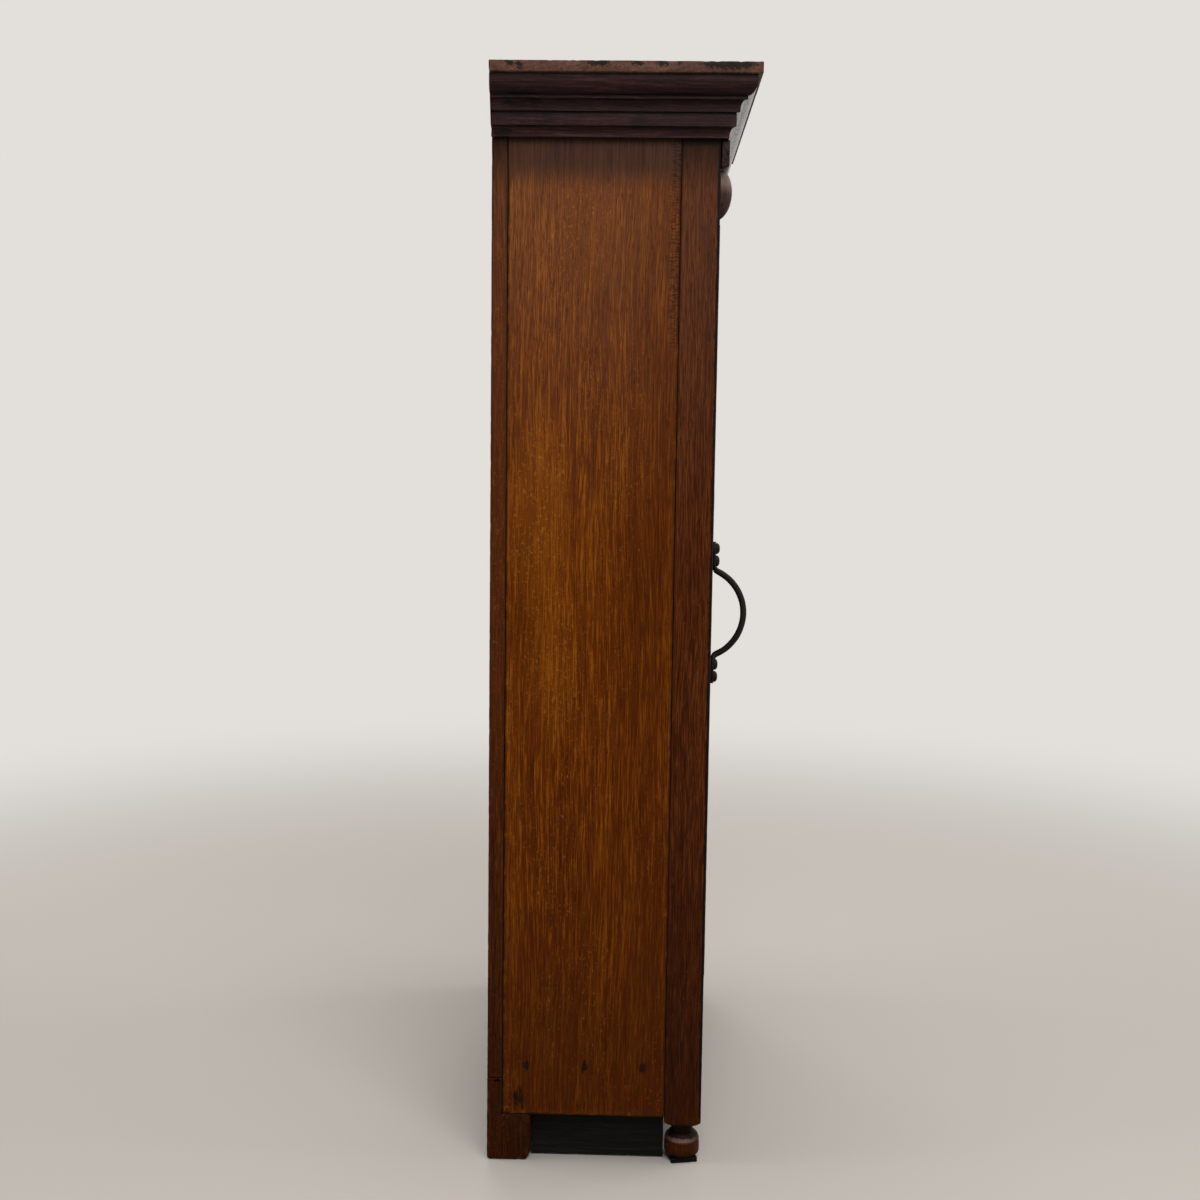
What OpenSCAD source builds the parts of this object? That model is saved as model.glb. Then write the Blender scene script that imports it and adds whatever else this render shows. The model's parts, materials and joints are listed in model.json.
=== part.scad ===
// Teak display cabinet with one glazed door, plank sides and a stacked cornice.
// Millimetres, +Z up, the door faces -Y, the origin is under the middle of the whole cabinet.

/* [Overall] */
// Height from the floor to the top of the cornice board
total_h = 1500; // [1250:10:1900]
// Width over the two side boards
carcass_w = 700; // [560:10:900]
// Depth from the back face to the front face of the posts
carcass_d = 302; // [240:2:420]
// Height of the underside of the side boards above the floor
base_h = 69; // [64:1:110]
// Height of the top of the bottom rail above the floor
sill_h = 256; // [230:2:330]
// Height of the top rail, from the door opening to the cornice board
top_rail_h = 176; // [160:2:230]

/* [Boards] */
// Width of a front post across the cabinet
post_w = 50; // [40:1:60]
// Depth of a front post
post_d = 52; // [44:1:64]
// Thickness of a side board
side_t = 20; // [16:1:24]
// Thickness of the top and bottom rails
rail_t = 22; // [18:1:26]
// Thickness of the back frame
back_frame_t = 22; // [18:1:28]
// Width of a back stile
back_stile_w = 50; // [42:1:70]
// Height of the lower back rail
back_low_rail_h = 70; // [50:2:100]
// Height of the upper back rail
back_top_rail_h = 100; // [70:2:140]
// Thickness of the back planks
back_plank_t = 12; // [8:1:14]
// Number of back planks
back_planks = 3; // [3:1:3]
// Height at which a back stile stands on the strip of the rear foot
stile_foot_h = 121; // [112:1:126]
// Height of the middle of the bottom board, where the side nails go in
bottom_board_mid_h = 140; // [138:1:150]
// Thickness of the bottom board
bottom_board_t = 24; // [18:1:24]
// Thickness of the ceiling board
ceiling_t = 16; // [12:1:20]
// Height of the ceiling board above the door opening
ceiling_rise = 21; // [18:1:40]
// Depth of the housings that hold the bottom and ceiling boards
housing_d = 8; // [5:1:10]

/* [Shelves] */
// Thickness of a shelf
shelf_t = 18; // [14:1:22]
// Clear height over the sill shelf
low_space_h = 262; // [220:2:300]
// Clear height over the lower shelf
middle_space_h = 246; // [200:2:270]
// Clear height over the middle shelf
upper_space_h = 246; // [200:2:270]
// Height and width of a shelf cleat
cleat_s = 18; // [12:1:22]

/* [Cornice] */
// Overhang of the cornice board at the front and the sides
cornice_over = 50; // [47:1:60]
// Thickness of the cornice board
slab_t = 15; // [12:1:24]
// Projection of the crown fillet
crown_over = 43.5; // [42:0.5:46]
// Height of the crown fillet
crown_fillet_h = 6; // [4:0.5:8]
// Height of the ovolo
ovolo_h = 19; // [14:1:22]
// Projection of the fillet under the ovolo
mid_over = 31.5; // [30:0.5:34]
// Height of the fillet under the ovolo
mid_fillet_h = 4.5; // [3:0.5:6]
// Height of the hollow member
hollow_h = 11; // [8:1:13]
// Projection at the foot of the hollow member
hollow_over = 22.4; // [21:0.2:25]
// Height of the land under the hollow member
hollow_land_h = 3.5; // [2:0.5:5]
// Projection of the flat fascia
fascia_over = 18; // [16:0.5:20]
// Height of the flat fascia
fascia_h = 17.5; // [12:0.5:22]
// Height of the cove
cove_h = 10.5; // [8:0.5:13]
// Projection of the bed fillet
bed_over = 9.5; // [7:0.5:13]
// Height of the bed fillet
bed_fillet_h = 3; // [2:0.5:5]
// Height of the frieze fillet under the front moulding
frieze_h = 35; // [26:1:40]
// Height of the lower member of the frieze fillet
frieze_low_h = 15; // [12:0.5:18]
// Width of the groove between the two members of the frieze fillet
frieze_groove = 1.4; // [1:0.1:2]
// Projection of the frieze fillet
frieze_over = 11; // [8:0.5:14]
// Height of an egg boss
boss_h = 65; // [52:1:66]
// Largest radius of an egg boss
boss_r = 16; // [12:0.5:18]
// Gap between an egg boss and the frieze fillet above it
boss_gap = 0.5; // [0:0.5:3]

/* [Feet] */
// Thickness of the dark board under a side board
base_board_t = 10; // [6:1:14]
// Gap between that dark board and the floor
base_board_gap = 2; // [1:0.5:5]
// Depth of a rear foot
rear_foot_d = 62; // [50:1:80]
// Radius of the rounded vertical edge of a rear foot
rear_foot_round = 12; // [4:1:20]
// Radius of the worn lower edges of a rear foot
rear_foot_wear = 5; // [2:0.5:10]
// Radius of the worn lower front corner of a rear foot
rear_foot_toe = 13; // [6:1:18]
// Height of the square shoulder of a front post that the lathe rounds
shoulder_h = 14; // [8:1:16]
// Radius of the neck over the bun foot
neck_r = 15.2; // [13:0.2:17]
// Largest radius of the bun foot
bun_r = 25; // [22:0.5:25]
// Height of the bun foot
bun_h = 36; // [30:1:40]
// Height of the curve under the belly of the bun foot
bun_low_h = 8.5; // [6:0.5:11]
// Height of the plain belly of the bun foot
belly_h = 7; // [4:0.5:9]
// Radius of the flat underside of the bun foot
bun_base_r = 17.5; // [14:0.5:18.5]
// Height of the raised ring near the top of the bun foot
ring_h = 6; // [4:0.5:8]
// Distance of the raised ring from the top of the bun foot
ring_drop = 5.5; // [4:0.5:7]
// How far the ring stands out of the bun foot
ring_out = 0.8; // [0.4:0.1:1]
// Width of a square levelling pad
pad_w = 38; // [37:0.5:46]
// Height of a levelling pad
pad_h = 6.5; // [4:0.5:8]
// Turn of a levelling pad under its foot, in degrees
pad_turn = 12; // [0:1:20]

/* [Door] */
// Gap between the door and its frame
door_gap = 2; // [1.5:0.1:3]
// Distance that the door face stands proud of the posts
door_proud = 2.5; // [2.5:0.5:6]
// Thickness of the door
door_t = 24; // [22:1:26]
// Width of the door stiles
stile_w = 60; // [56:1:80]
// Height of the top rail of the door
door_top_h = 60; // [50:1:90]
// Height of the bottom rail of the door
door_low_h = 80; // [60:1:120]
// Width of a glazing bar
bar_w = 20; // [18:1:26]
// Width of the web of a glazing bar
web_w = 6; // [5:0.5:8]
// Depth of the face of the door in front of the glass
lip_t = 11; // [8:0.5:12]
// Width of the rebate for the glass
rebate_w = 8; // [7:0.5:9]
// Thickness of the glass
glass_t = 3; // [2:0.5:4]
// Clearance between the glass and its rebate
glass_gap = 0.5; // [0.3:0.1:0.8]
// Width of a glazing bead
bead_w = 6; // [4:0.5:6]
// Depth of a glazing bead
bead_t = 8; // [5:0.5:9]
// Thickness of the door tenons
tenon_t = 8; // [6:0.5:9]
// Depth of the door stop strip
stop_t = 12; // [8:1:16]
// Drop of the door stop strip below the top rail
stop_drop = 10; // [6:1:14]

/* [Hinges] */
// Height of a butt hinge
hinge_h = 75; // [60:5:90]
// Distance from the end of the door to the middle of a hinge
hinge_inset = 150; // [120:5:200]
// Radius of a hinge knuckle
knuckle_r = 4.5; // [4:0.1:5]
// Radius of a hinge pin
pin_r = 2.2; // [1.8:0.1:2.6]
// Thickness of a hinge leaf
leaf_t = 2; // [1.6:0.1:2.4]
// Width of a hinge leaf on the wood
leaf_w = 20; // [18:0.5:21]
// Running clearance round a hinge pin
pin_fit = 0.05; // [0.02:0.01:0.08]
// Clearance between two knuckles
knuckle_gap = 0.25; // [0.15:0.05:0.5]
// Distance between two screws of a leaf
screw_pitch = 25; // [20:1:28]
// Radius of a screw shank
screw_r = 1.6; // [1.2:0.1:2]
// Length of a hinge screw
screw_l = 18; // [12:1:24]

/* [Handle] */
// Height of the middle of the handle above the floor
handle_h = 776; // [700:2:820]
// Reach of the bow from the door face
handle_reach = 49; // [44:1:54]
// Radius of the bow rod
rod_r = 4.5; // [3.5:0.25:5.5]
// Radius of the curve of the bow at the middle of the rod
bow_r = 64.5; // [60:0.5:70]
// Length of a handle plate
plate_l = 46; // [44:1:52]
// Width of a handle plate
plate_w = 24; // [20:1:30]
// Thickness of a handle plate
plate_t = 4.5; // [3:0.25:6]
// Radius of a handle nail head
nail_head_r = 8.5; // [6:0.25:8.5]
// Height of a handle nail head
nail_head_h = 6; // [4:0.25:7]
// Radius of a handle nail
nail_r = 1.8; // [1.4:0.1:2.4]
// Distance between the two nails of a plate
nail_pitch = 17.5; // [17.5:0.5:19]

/* [Lock] */
// Height of the lock above the middle of the handle
lock_rise = 160; // [136:2:184]
// Width of the lock case
lock_w = 44; // [38:1:46]
// Height of the lock case
lock_case_h = 60; // [50:1:80]
// Depth of the lock case
lock_t = 12; // [11:0.5:14]
// Height of the lock bolt
bolt_h = 20; // [14:1:26]
// Thickness of the lock bolt
bolt_t = 6; // [5:0.5:7]
// Length of the lock bolt
bolt_l = 28; // [24:1:30]
// Throw of the lock bolt
bolt_throw = 8; // [6:0.5:9]
// Running clearance round the lock bolt
bolt_fit = 0.08; // [0.05:0.01:0.1]
// Radius of the round part of the keyhole
key_r = 1.9; // [1.6:0.1:2]
// Width of the slot of the keyhole
key_slot_w = 2.4; // [2:0.1:2.6]
// Length of the slot of the keyhole below its centre
key_slot_l = 8; // [6:0.5:9]
// Thickness of the keyhole plate
escutcheon_t = 1.5; // [1:0.1:2]
// How far the keyhole plate stands out of the door
escutcheon_proud = 0.3; // [0.1:0.1:0.5]
// Thickness of the strike plate
strike_t = 1.5; // [1:0.1:2]

/* [Hidden] */
$fn = 64;

TEAK = "#8a4a26";
POST_TEAK = "#5d2f1e";
DARK_TEAK = "#3c241d";
INNER_TEAK = "#7b5436";
GLASS = "#cfe0dc";
IRON = "#2b2725";
BRASS = "#a98a4a";
RUBBER = "#141414";
e = 1;

// Planes of the carcass
x_out = carcass_w / 2;
x_side_in = x_out - side_t;
x_post_in = x_out - post_w;
front_reach = max(cornice_over, door_proud + handle_reach);
y_back = (carcass_d + front_reach) / 2;
y_face = y_back - carcass_d;
y_rail_back = y_face + rail_t;
y_post_back = y_face + post_d;
y_frame = y_back - back_frame_t;
z_top = total_h - slab_t;
z_lintel = z_top - top_rail_h;

// Levels of the boards
bottom_z = bottom_board_mid_h - bottom_board_t / 2;
ceiling_z = z_lintel + ceiling_rise;
sill_shelf_z = sill_h - shelf_t;
lower_shelf_z = sill_h + low_space_h;
middle_shelf_z = lower_shelf_z + shelf_t + middle_space_h;
upper_shelf_z = middle_shelf_z + shelf_t + upper_space_h;
shelf_levels = [sill_shelf_z, lower_shelf_z, middle_shelf_z, upper_shelf_z];
shelf_play = 0.5;

// Cornice levels, downward from the underside of the cornice board
ovolo_z = crown_fillet_h;
mid_z = ovolo_z + ovolo_h;
hollow_z = mid_z + mid_fillet_h;
hollow_land_z = hollow_z + hollow_h;
fascia_z = hollow_land_z + hollow_land_h;
cove_z = fascia_z + fascia_h;
bed_z = cove_z + cove_h;
cornice_h = bed_z + bed_fillet_h;
frieze_z = z_top - cornice_h - frieze_h;
hollow_step = 2.5;
cove_step = 1;

// Feet
post_axis_x = x_out - post_w / 2;
post_axis_y = y_face + post_d / 2;
belly_z0 = pad_h + bun_low_h;
belly_z1 = belly_z0 + belly_h;
bun_top = pad_h + bun_h;
crown_end = 76;
crown_rx = (bun_r - neck_r) / (1 - cos(crown_end));
crown_ry = (bun_top - belly_z1) / sin(crown_end);
ring_a1 = asin((bun_top - ring_drop - belly_z1) / crown_ry);
ring_a0 = asin((bun_top - ring_drop - ring_h - belly_z1) / crown_ry);
shoulder_z = base_h - shoulder_h;

// Joinery of the frame
tongue_t = 8;
tongue_d = 8;
rail_tenon_l = 25;
rail_tenon_t = 8;
rail_tenon_cut = 18;
joint_fit = 0.1;
back_groove_d = 8;
plank_play = 0.5;
plank_lap = 8;
side_nail_r = 1.8;
side_nail_head_r = 2.6;
side_nail_head_t = 1.2;
side_nail_l = 40;
side_nail_first = 55;
side_nail_pitch = 82;

// Door planes
door_w = 2 * (x_post_in - door_gap);
x_door = door_w / 2;
y_door = y_face - door_proud;
y_door_back = y_door + door_t;
door_z0 = sill_h + door_gap;
door_z1 = z_lintel - door_gap;
x_sight = x_door - stile_w;
z_sight0 = door_z0 + door_low_h;
z_sight1 = door_z1 - door_top_h;
y_glass = y_door + lip_t;
pane_w = (2 * x_sight - bar_w) / 2;
pane_h = (z_sight1 - z_sight0 - 2 * bar_w) / 3;
bar_ledge = (bar_w - web_w) / 2;
y_tenon = y_door + (door_t - tenon_t) / 2;
top_tenon_h = door_top_h - 20;
low_tenon_h = door_low_h - 24;
low_bar_z = z_sight0 + pane_h;
up_bar_z = low_bar_z + bar_w + pane_h;

// Hinge axis
hinge_x = x_post_in - door_gap / 2;
hinge_y = y_door - knuckle_r - 0.1;
hinge_levels = [door_z0 + hinge_inset, door_z1 - hinge_inset];
knuckles = 5;
knuckle_h = hinge_h / knuckles;
screw_head_r = screw_r + 1.6;
screw_head_h = 1.4;
screw_sink = 0.15;
screw_fit = 0.1;
screw_y = y_door + door_proud + leaf_w * 0.5;

// Handle
handle_x = -(x_door - stile_w / 2 + 4);
bow_y = y_door - handle_reach + rod_r + bow_r;
plate_y = y_door - plate_t;
rod_end_y = y_door - plate_t - 1.5;
bow_half = acos((bow_y - rod_end_y) / bow_r);
root_r = rod_r + 0.5;
root_z = bow_r * sin(bow_half);
plate_low = root_z - root_r;
nail_inner = root_z + root_r + nail_head_r + 0.3;
nail_fit = 0.05;
nail_l = 22;

// Lock
lock_h = handle_h + lock_rise;
lock_gap = 1;
lock_x = -(x_door - lock_gap);
bolt_rest = 0.3;
key_x = -(x_door - 23);
bolt_y = y_door_back + (lock_t - bolt_t) / 2;
strike_w = 14;
strike_h = 40;

// Points along part of an ellipse
function arc(cx, cy, rx, ry, a0, a1, n) =
    [for (i = [0:n]) let (a = a0 + (a1 - a0) * i / n) [cx + rx * cos(a), cy + ry * sin(a)]];

// A box from its two corners
module box(x0, x1, y0, y1, z0, z1) {
    translate([x0, y0, z0]) cube([x1 - x0, y1 - y0, z1 - z0]);
}

// Mirrors a left piece to the right
module to_right() {
    mirror([1, 0, 0]) children();
}

// A round bar along X from x0 to x1
module bar_x(x0, x1, y, z, r) {
    translate([x0, y, z]) rotate([0, 90, 0]) cylinder(h = x1 - x0, r = r);
}

// A round bar along Y from y0 to y1
module bar_y(x, y0, y1, z, r) {
    translate([x, y0, z]) rotate([-90, 0, 0]) cylinder(h = y1 - y0, r = r);
}

// Crown of the bun foot between two angles, and the radius at one angle
function crown(a0, a1, n) = arc(bun_r - crown_rx, belly_z1, crown_rx, crown_ry, a0, a1, n);
function crown_r(a) = bun_r - crown_rx + crown_rx * cos(a);
function crown_z(a) = belly_z1 + crown_ry * sin(a);

// Turned neck and bun under a front post
module turned_foot() {
    rotate_extrude() polygon(concat(
        [[0, pad_h]],
        arc(bun_base_r, belly_z0, bun_r - bun_base_r, bun_low_h, -90, 0, 6),
        crown(0, ring_a0, 4),
        [[crown_r(ring_a0) + ring_out, crown_z(ring_a0)], [crown_r(ring_a1) + ring_out, crown_z(ring_a1)]],
        crown(ring_a1, crown_end, 4),
        [[neck_r, shoulder_z + e], [0, shoulder_z + e]]
    ));
}

// Solid that rounds the corners of the square where the turning starts
module lathe_shoulder() {
    rotate_extrude() polygon(concat(
        [[0, shoulder_z]],
        arc(post_w / 2 - 6, shoulder_z + shoulder_h, post_w * 0.38, shoulder_h, -90, 0, 8),
        [[post_w, shoulder_z + shoulder_h], [post_w, base_h + e], [0, base_h + e]]
    ));
}

// Left front post before the fittings are let in
module post_blank() {
    difference() {
        union() {
            box(-x_out, -x_post_in, y_face, y_post_back, base_h, z_top);
            intersection() {
                box(-x_out, -x_post_in, y_face, y_post_back, shoulder_z, base_h + e);
                translate([-post_axis_x, post_axis_y, 0]) lathe_shoulder();
            }
            translate([-post_axis_x, post_axis_y, 0]) turned_foot();
        }
        // groove for the tongue of the side board
        box(-x_out + (side_t - tongue_t) / 2 - joint_fit, -x_out + (side_t + tongue_t) / 2 + joint_fit,
            y_post_back - tongue_d - joint_fit, y_post_back + e, base_h, z_top + e);
        // mortises for the rails
        rail_tenon(z_lintel + rail_tenon_cut, z_top - rail_tenon_cut, joint_fit);
        rail_tenon(base_h + rail_tenon_cut, sill_h - rail_tenon_cut, joint_fit);
    }
}

// Left tenon of a rail, grown by a clearance when it is used as a cut
module rail_tenon(z0, z1, grow) {
    box(-x_post_in - rail_tenon_l - grow, -x_post_in + e,
        y_face + (rail_t - rail_tenon_t) / 2 - grow, y_face + (rail_t + rail_tenon_t) / 2 + grow,
        z0 - grow, z1 + grow);
}

module left_front_post() {
    color(POST_TEAK) difference() {
        post_blank();
        strike_recess(joint_fit);
        // pocket behind the strike plate
        box(-x_post_in - bolt_throw - 3, -x_post_in + e, bolt_y - 1, bolt_y + bolt_t + 1,
            lock_h - bolt_h / 2 - 1, lock_h + bolt_h / 2 + 1);
    }
}

module right_front_post() {
    color(POST_TEAK) difference() {
        to_right() post_blank();
        for (z = hinge_levels) {
            frame_leaf_plate(z, joint_fit);
            for (s = [-1, 0, 1]) {
                bar_x(x_post_in, x_post_in + screw_l + e, screw_y, z + s * screw_pitch, screw_r + screw_fit);
            }
        }
    }
}

// Left rear foot: a block, a strip up to the back stile and a tongue inside the side board
module rear_foot() {
    color(POST_TEAK) difference() {
        union() {
            intersection() {
                linear_extrude(base_h) rear_foot_outline();
                rear_foot_side_view();
                rear_foot_front_view();
            }
            box(-x_out, -x_post_in, y_frame, y_back, base_h - e, stile_foot_h);
            box(-x_side_in, -x_post_in, y_back - rear_foot_d, y_frame, base_h - e, bottom_z);
        }
    }
}

// Plan of the left rear foot, with a round outer front edge
module rear_foot_outline() {
    r = rear_foot_round;
    translate([-x_out, y_back - rear_foot_d]) difference() {
        square([post_w, rear_foot_d]);
        difference() {
            translate([-e, -e]) square([r + e, r + e]);
            translate([r, r]) circle(r);
        }
    }
}

// Prism along X with worn lower edges
module rear_foot_side_view() {
    r = rear_foot_wear;
    toe = rear_foot_toe;
    translate([-x_out - e, 0, 0]) rotate([90, 0, 90]) linear_extrude(post_w + 2 * e) polygon(concat(
        [[y_back, base_h], [y_back - rear_foot_d, base_h]],
        arc(y_back - rear_foot_d + toe, toe, toe, toe, 180, 270, 8),
        arc(y_back - r, r, r, r, 270, 360, 6)
    ));
}

// Prism along Y with worn lower edges
module rear_foot_front_view() {
    r = rear_foot_wear;
    translate([0, y_back + e, 0]) rotate([90, 0, 0]) linear_extrude(rear_foot_d + 2 * e) polygon(concat(
        [[-x_post_in, base_h], [-x_out, base_h]],
        arc(-x_out + r, r, r, r, 180, 270, 6),
        arc(-x_post_in - r, r, r, r, 270, 360, 6)
    ));
}

module left_rear_foot() {
    rear_foot();
}

module right_rear_foot() {
    to_right() rear_foot();
}

module front_foot_pads() {
    color(RUBBER) for (s = [-1, 1]) {
        translate([s * post_axis_x, post_axis_y, 0]) rotate([0, 0, -s * pad_turn])
            box(-pad_w / 2, pad_w / 2, -pad_w / 2, pad_w / 2, 0, pad_h);
    }
}

// Left side board, one plank with a tongue at the front
module side_board() {
    color(TEAK) difference() {
        union() {
            box(-x_out, -x_side_in, y_post_back, y_frame, base_h, z_top);
            box(-x_out + (side_t - tongue_t) / 2, -x_out + (side_t + tongue_t) / 2,
                y_post_back - tongue_d, y_post_back + e, base_h, z_top);
        }
        // housings for the bottom and ceiling boards
        box(-x_side_in - housing_d, -x_side_in + e, y_post_back - tongue_d - e, y_frame,
            bottom_z, bottom_z + bottom_board_t);
        box(-x_side_in - housing_d, -x_side_in + e, y_post_back - tongue_d - e, y_frame,
            ceiling_z, ceiling_z + ceiling_t);
        for (i = [0:2]) {
            side_nail_hole(i);
        }
    }
}

// Height and distance of one nail of the left side board
function side_nail_y(i) = y_back - side_nail_first - i * side_nail_pitch;

module side_nail_hole(i) {
    bar_x(-x_out - e, -x_out + side_nail_l, side_nail_y(i), bottom_board_mid_h, side_nail_r);
    bar_x(-x_out - e, -x_out + side_nail_head_t, side_nail_y(i), bottom_board_mid_h, side_nail_head_r);
}

module side_nail(i) {
    bar_x(-x_out, -x_out + side_nail_l, side_nail_y(i), bottom_board_mid_h, side_nail_r);
    bar_x(-x_out, -x_out + side_nail_head_t, side_nail_y(i), bottom_board_mid_h, side_nail_head_r);
}

module side_nails() {
    color(IRON) for (i = [0:2]) {
        side_nail(i);
        to_right() side_nail(i);
    }
}

module left_side_board() {
    side_board();
}

module right_side_board() {
    to_right() side_board();
}

// Left back stile, grooved for the planks
module back_stile() {
    color(POST_TEAK) difference() {
        box(-x_out, -x_out + back_stile_w, y_frame, y_back, stile_foot_h, z_top);
        back_groove(-x_out + back_stile_w - back_groove_d, -x_out + back_stile_w + e,
            stile_foot_h + back_low_rail_h - back_groove_d, z_top - back_top_rail_h + back_groove_d);
    }
}

// Groove for the back planks, from one X to another
module back_groove(x0, x1, z0, z1) {
    y0 = y_frame + (back_frame_t - back_plank_t) / 2;
    box(x0, x1, y0, y0 + back_plank_t, z0, z1);
}

module left_back_stile() {
    back_stile();
}

module right_back_stile() {
    to_right() back_stile();
}

// A rail between the back stiles, with the groove on its inner edge
module back_rail(z0, z1, groove0, groove1) {
    x = x_out - back_stile_w;
    color(POST_TEAK) difference() {
        box(-x, x, y_frame, y_back, z0, z1);
        back_groove(-x - e, x + e, groove0, groove1);
    }
}

module back_top_rail() {
    z = z_top - back_top_rail_h;
    back_rail(z, z_top, z - e, z + back_groove_d);
}

module back_bottom_rail() {
    z = stile_foot_h + back_low_rail_h;
    back_rail(stile_foot_h, z, z - back_groove_d, z + e);
}

// One back plank, half lapped over its neighbour on the right
module back_plank(i) {
    x_edge = x_out - back_stile_w + back_groove_d;
    step = 2 * x_edge / back_planks;
    x0 = -x_edge + i * step;
    x1 = x0 + step;
    y0 = y_frame + (back_frame_t - back_plank_t) / 2;
    z0 = stile_foot_h + back_low_rail_h - back_groove_d;
    z1 = z_top - back_top_rail_h + back_groove_d;
    lap0 = i == 0 ? 0 : plank_lap + plank_play;
    lap1 = i == back_planks - 1 ? 0 : plank_lap;
    color(INNER_TEAK) union() {
        box(x0 + (i == 0 ? 0 : plank_play), x1, y0, y0 + back_plank_t / 2, z0, z1);
        box(x0 + lap0, x1 + lap1, y0 + back_plank_t / 2, y0 + back_plank_t, z0, z1);
    }
}

module left_back_plank() {
    back_plank(0);
}

module middle_back_plank() {
    back_plank(1);
}

module right_back_plank() {
    back_plank(2);
}

// Board between the side boards, notched round the posts
module housed_board(z, t, reach) {
    union() {
        box(-x_side_in - reach, x_side_in + reach, y_post_back, y_frame, z, z + t);
        box(-x_post_in, x_post_in, y_rail_back, y_post_back + e, z, z + t);
    }
}

module bottom_board() {
    color(INNER_TEAK) difference() {
        housed_board(bottom_z, bottom_board_t, housing_d);
        for (i = [0:2]) {
            side_nail_hole(i);
            to_right() side_nail_hole(i);
        }
    }
}

module ceiling_board() {
    color(INNER_TEAK) housed_board(ceiling_z, ceiling_t, housing_d);
}

module sill_shelf() {
    color(INNER_TEAK) union() {
        box(-x_side_in + shelf_play, x_side_in - shelf_play, y_post_back + shelf_play, y_frame - shelf_play,
            sill_shelf_z, sill_shelf_z + shelf_t);
        box(-x_post_in + shelf_play, x_post_in - shelf_play, y_rail_back + shelf_play, y_post_back + e,
            sill_shelf_z, sill_shelf_z + shelf_t);
    }
}

// A loose shelf behind the posts
module shelf(z) {
    color(INNER_TEAK) box(-x_side_in + shelf_play, x_side_in - shelf_play,
        y_post_back + shelf_play, y_frame - shelf_play, z, z + shelf_t);
}

module lower_shelf() {
    shelf(lower_shelf_z);
}

module middle_shelf() {
    shelf(middle_shelf_z);
}

module upper_shelf() {
    shelf(upper_shelf_z);
}

// Cleats that carry the shelves on the left side board
module left_cleats() {
    color(INNER_TEAK) for (z = shelf_levels) {
        box(-x_side_in, -x_side_in + cleat_s, y_post_back, y_frame, z - cleat_s, z);
    }
}

module shelf_cleats() {
    left_cleats();
    to_right() left_cleats();
}

// Dark boards that close the gap under the side boards, behind their lower edges
module base_boards() {
    color(DARK_TEAK) for (s = [0, 1]) {
        mirror([s, 0, 0]) box(-x_side_in, -x_side_in + base_board_t, y_post_back, y_back - rear_foot_d,
            base_board_gap, bottom_z);
    }
}

// A front rail with a tenon at each end
module front_rail(z0, z1) {
    union() {
        box(-x_post_in, x_post_in, y_face, y_rail_back, z0, z1);
        rail_tenon(z0 + rail_tenon_cut, z1 - rail_tenon_cut, 0);
        to_right() rail_tenon(z0 + rail_tenon_cut, z1 - rail_tenon_cut, 0);
    }
}

module top_rail() {
    color(POST_TEAK) front_rail(z_lintel, z_top);
}

module bottom_rail() {
    color(POST_TEAK) front_rail(base_h, sill_h);
}

module door_stop() {
    color(POST_TEAK) box(-x_post_in, x_post_in, y_rail_back, y_rail_back + stop_t,
        z_lintel - stop_drop, ceiling_z);
}

// Two members with a groove between them, the lower one rounded underneath
module frieze_fillet() {
    r = 3;
    groove_d = 1.8;
    g0 = frieze_low_h - frieze_groove / 2;
    g1 = frieze_low_h + frieze_groove / 2;
    color(DARK_TEAK) translate([-x_out, y_face, frieze_z]) rotate([90, 0, 90])
        linear_extrude(carcass_w) polygon(concat(
            [[0, 0]],
            arc(-frieze_over + r, r, r, r, 270, 180, 6),
            [[-frieze_over, g0], [-frieze_over + groove_d, g0], [-frieze_over + groove_d, g1]],
            [[-frieze_over, g1], [-frieze_over, frieze_h], [0, frieze_h]]
        ));
}

// Half of a turned egg, its blunt end up and its lower end pointed
module boss() {
    fat = boss_h * 0.545;
    pull = boss_r / 2;
    tip = acos(pull / (boss_r + pull));
    blunt = 78;
    color(POST_TEAK) translate([-post_axis_x, y_face, frieze_z - boss_gap - boss_h])
        rotate([0, 0, 180]) rotate_extrude(angle = 180) polygon(concat(
            [[0, 0]],
            arc(-pull, fat, boss_r + pull, fat / sin(tip), -tip * 0.97, 0, 9),
            arc(0, fat, boss_r, (boss_h - fat) / sin(blunt), 8, blunt, 8),
            [[0, boss_h]]
        ));
}

module left_boss() {
    boss();
}

module right_boss() {
    to_right() boss();
}

module cornice_board() {
    color(DARK_TEAK) box(-x_out - cornice_over, x_out + cornice_over,
        y_face - cornice_over, y_back, z_top, total_h);
}

// Section of the cornice moulding: x is the projection, y the height below the board
module cornice_section() {
    polygon(concat(
        [[0, 0], [crown_over, 0]],
        arc(mid_over, -ovolo_z, crown_over - mid_over, ovolo_h, 0, -90, 8),
        [[mid_over, -hollow_z]],
        arc(mid_over - hollow_step, -hollow_land_z, mid_over - hollow_step - hollow_over,
            hollow_h, 90, 180, 6),
        [[hollow_over, -fascia_z], [fascia_over, -fascia_z], [fascia_over, -cove_z]],
        arc(fascia_over - cove_step, -bed_z, fascia_over - cove_step - bed_over, cove_h, 90, 180, 6),
        [[bed_over, -cornice_h], [0, -cornice_h]]
    ));
}

module cornice_front_moulding() {
    m = crown_over + e;
    color(DARK_TEAK) intersection() {
        translate([-x_out - m, y_face, z_top]) rotate([90, 0, 90])
            linear_extrude(carcass_w + 2 * m) mirror([1, 0]) cornice_section();
        translate([0, 0, z_top - cornice_h - e]) linear_extrude(cornice_h + 2 * e) polygon([
            [-x_out, y_face], [x_out, y_face], [x_out + m, y_face - m], [-x_out - m, y_face - m]
        ]);
    }
}

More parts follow.
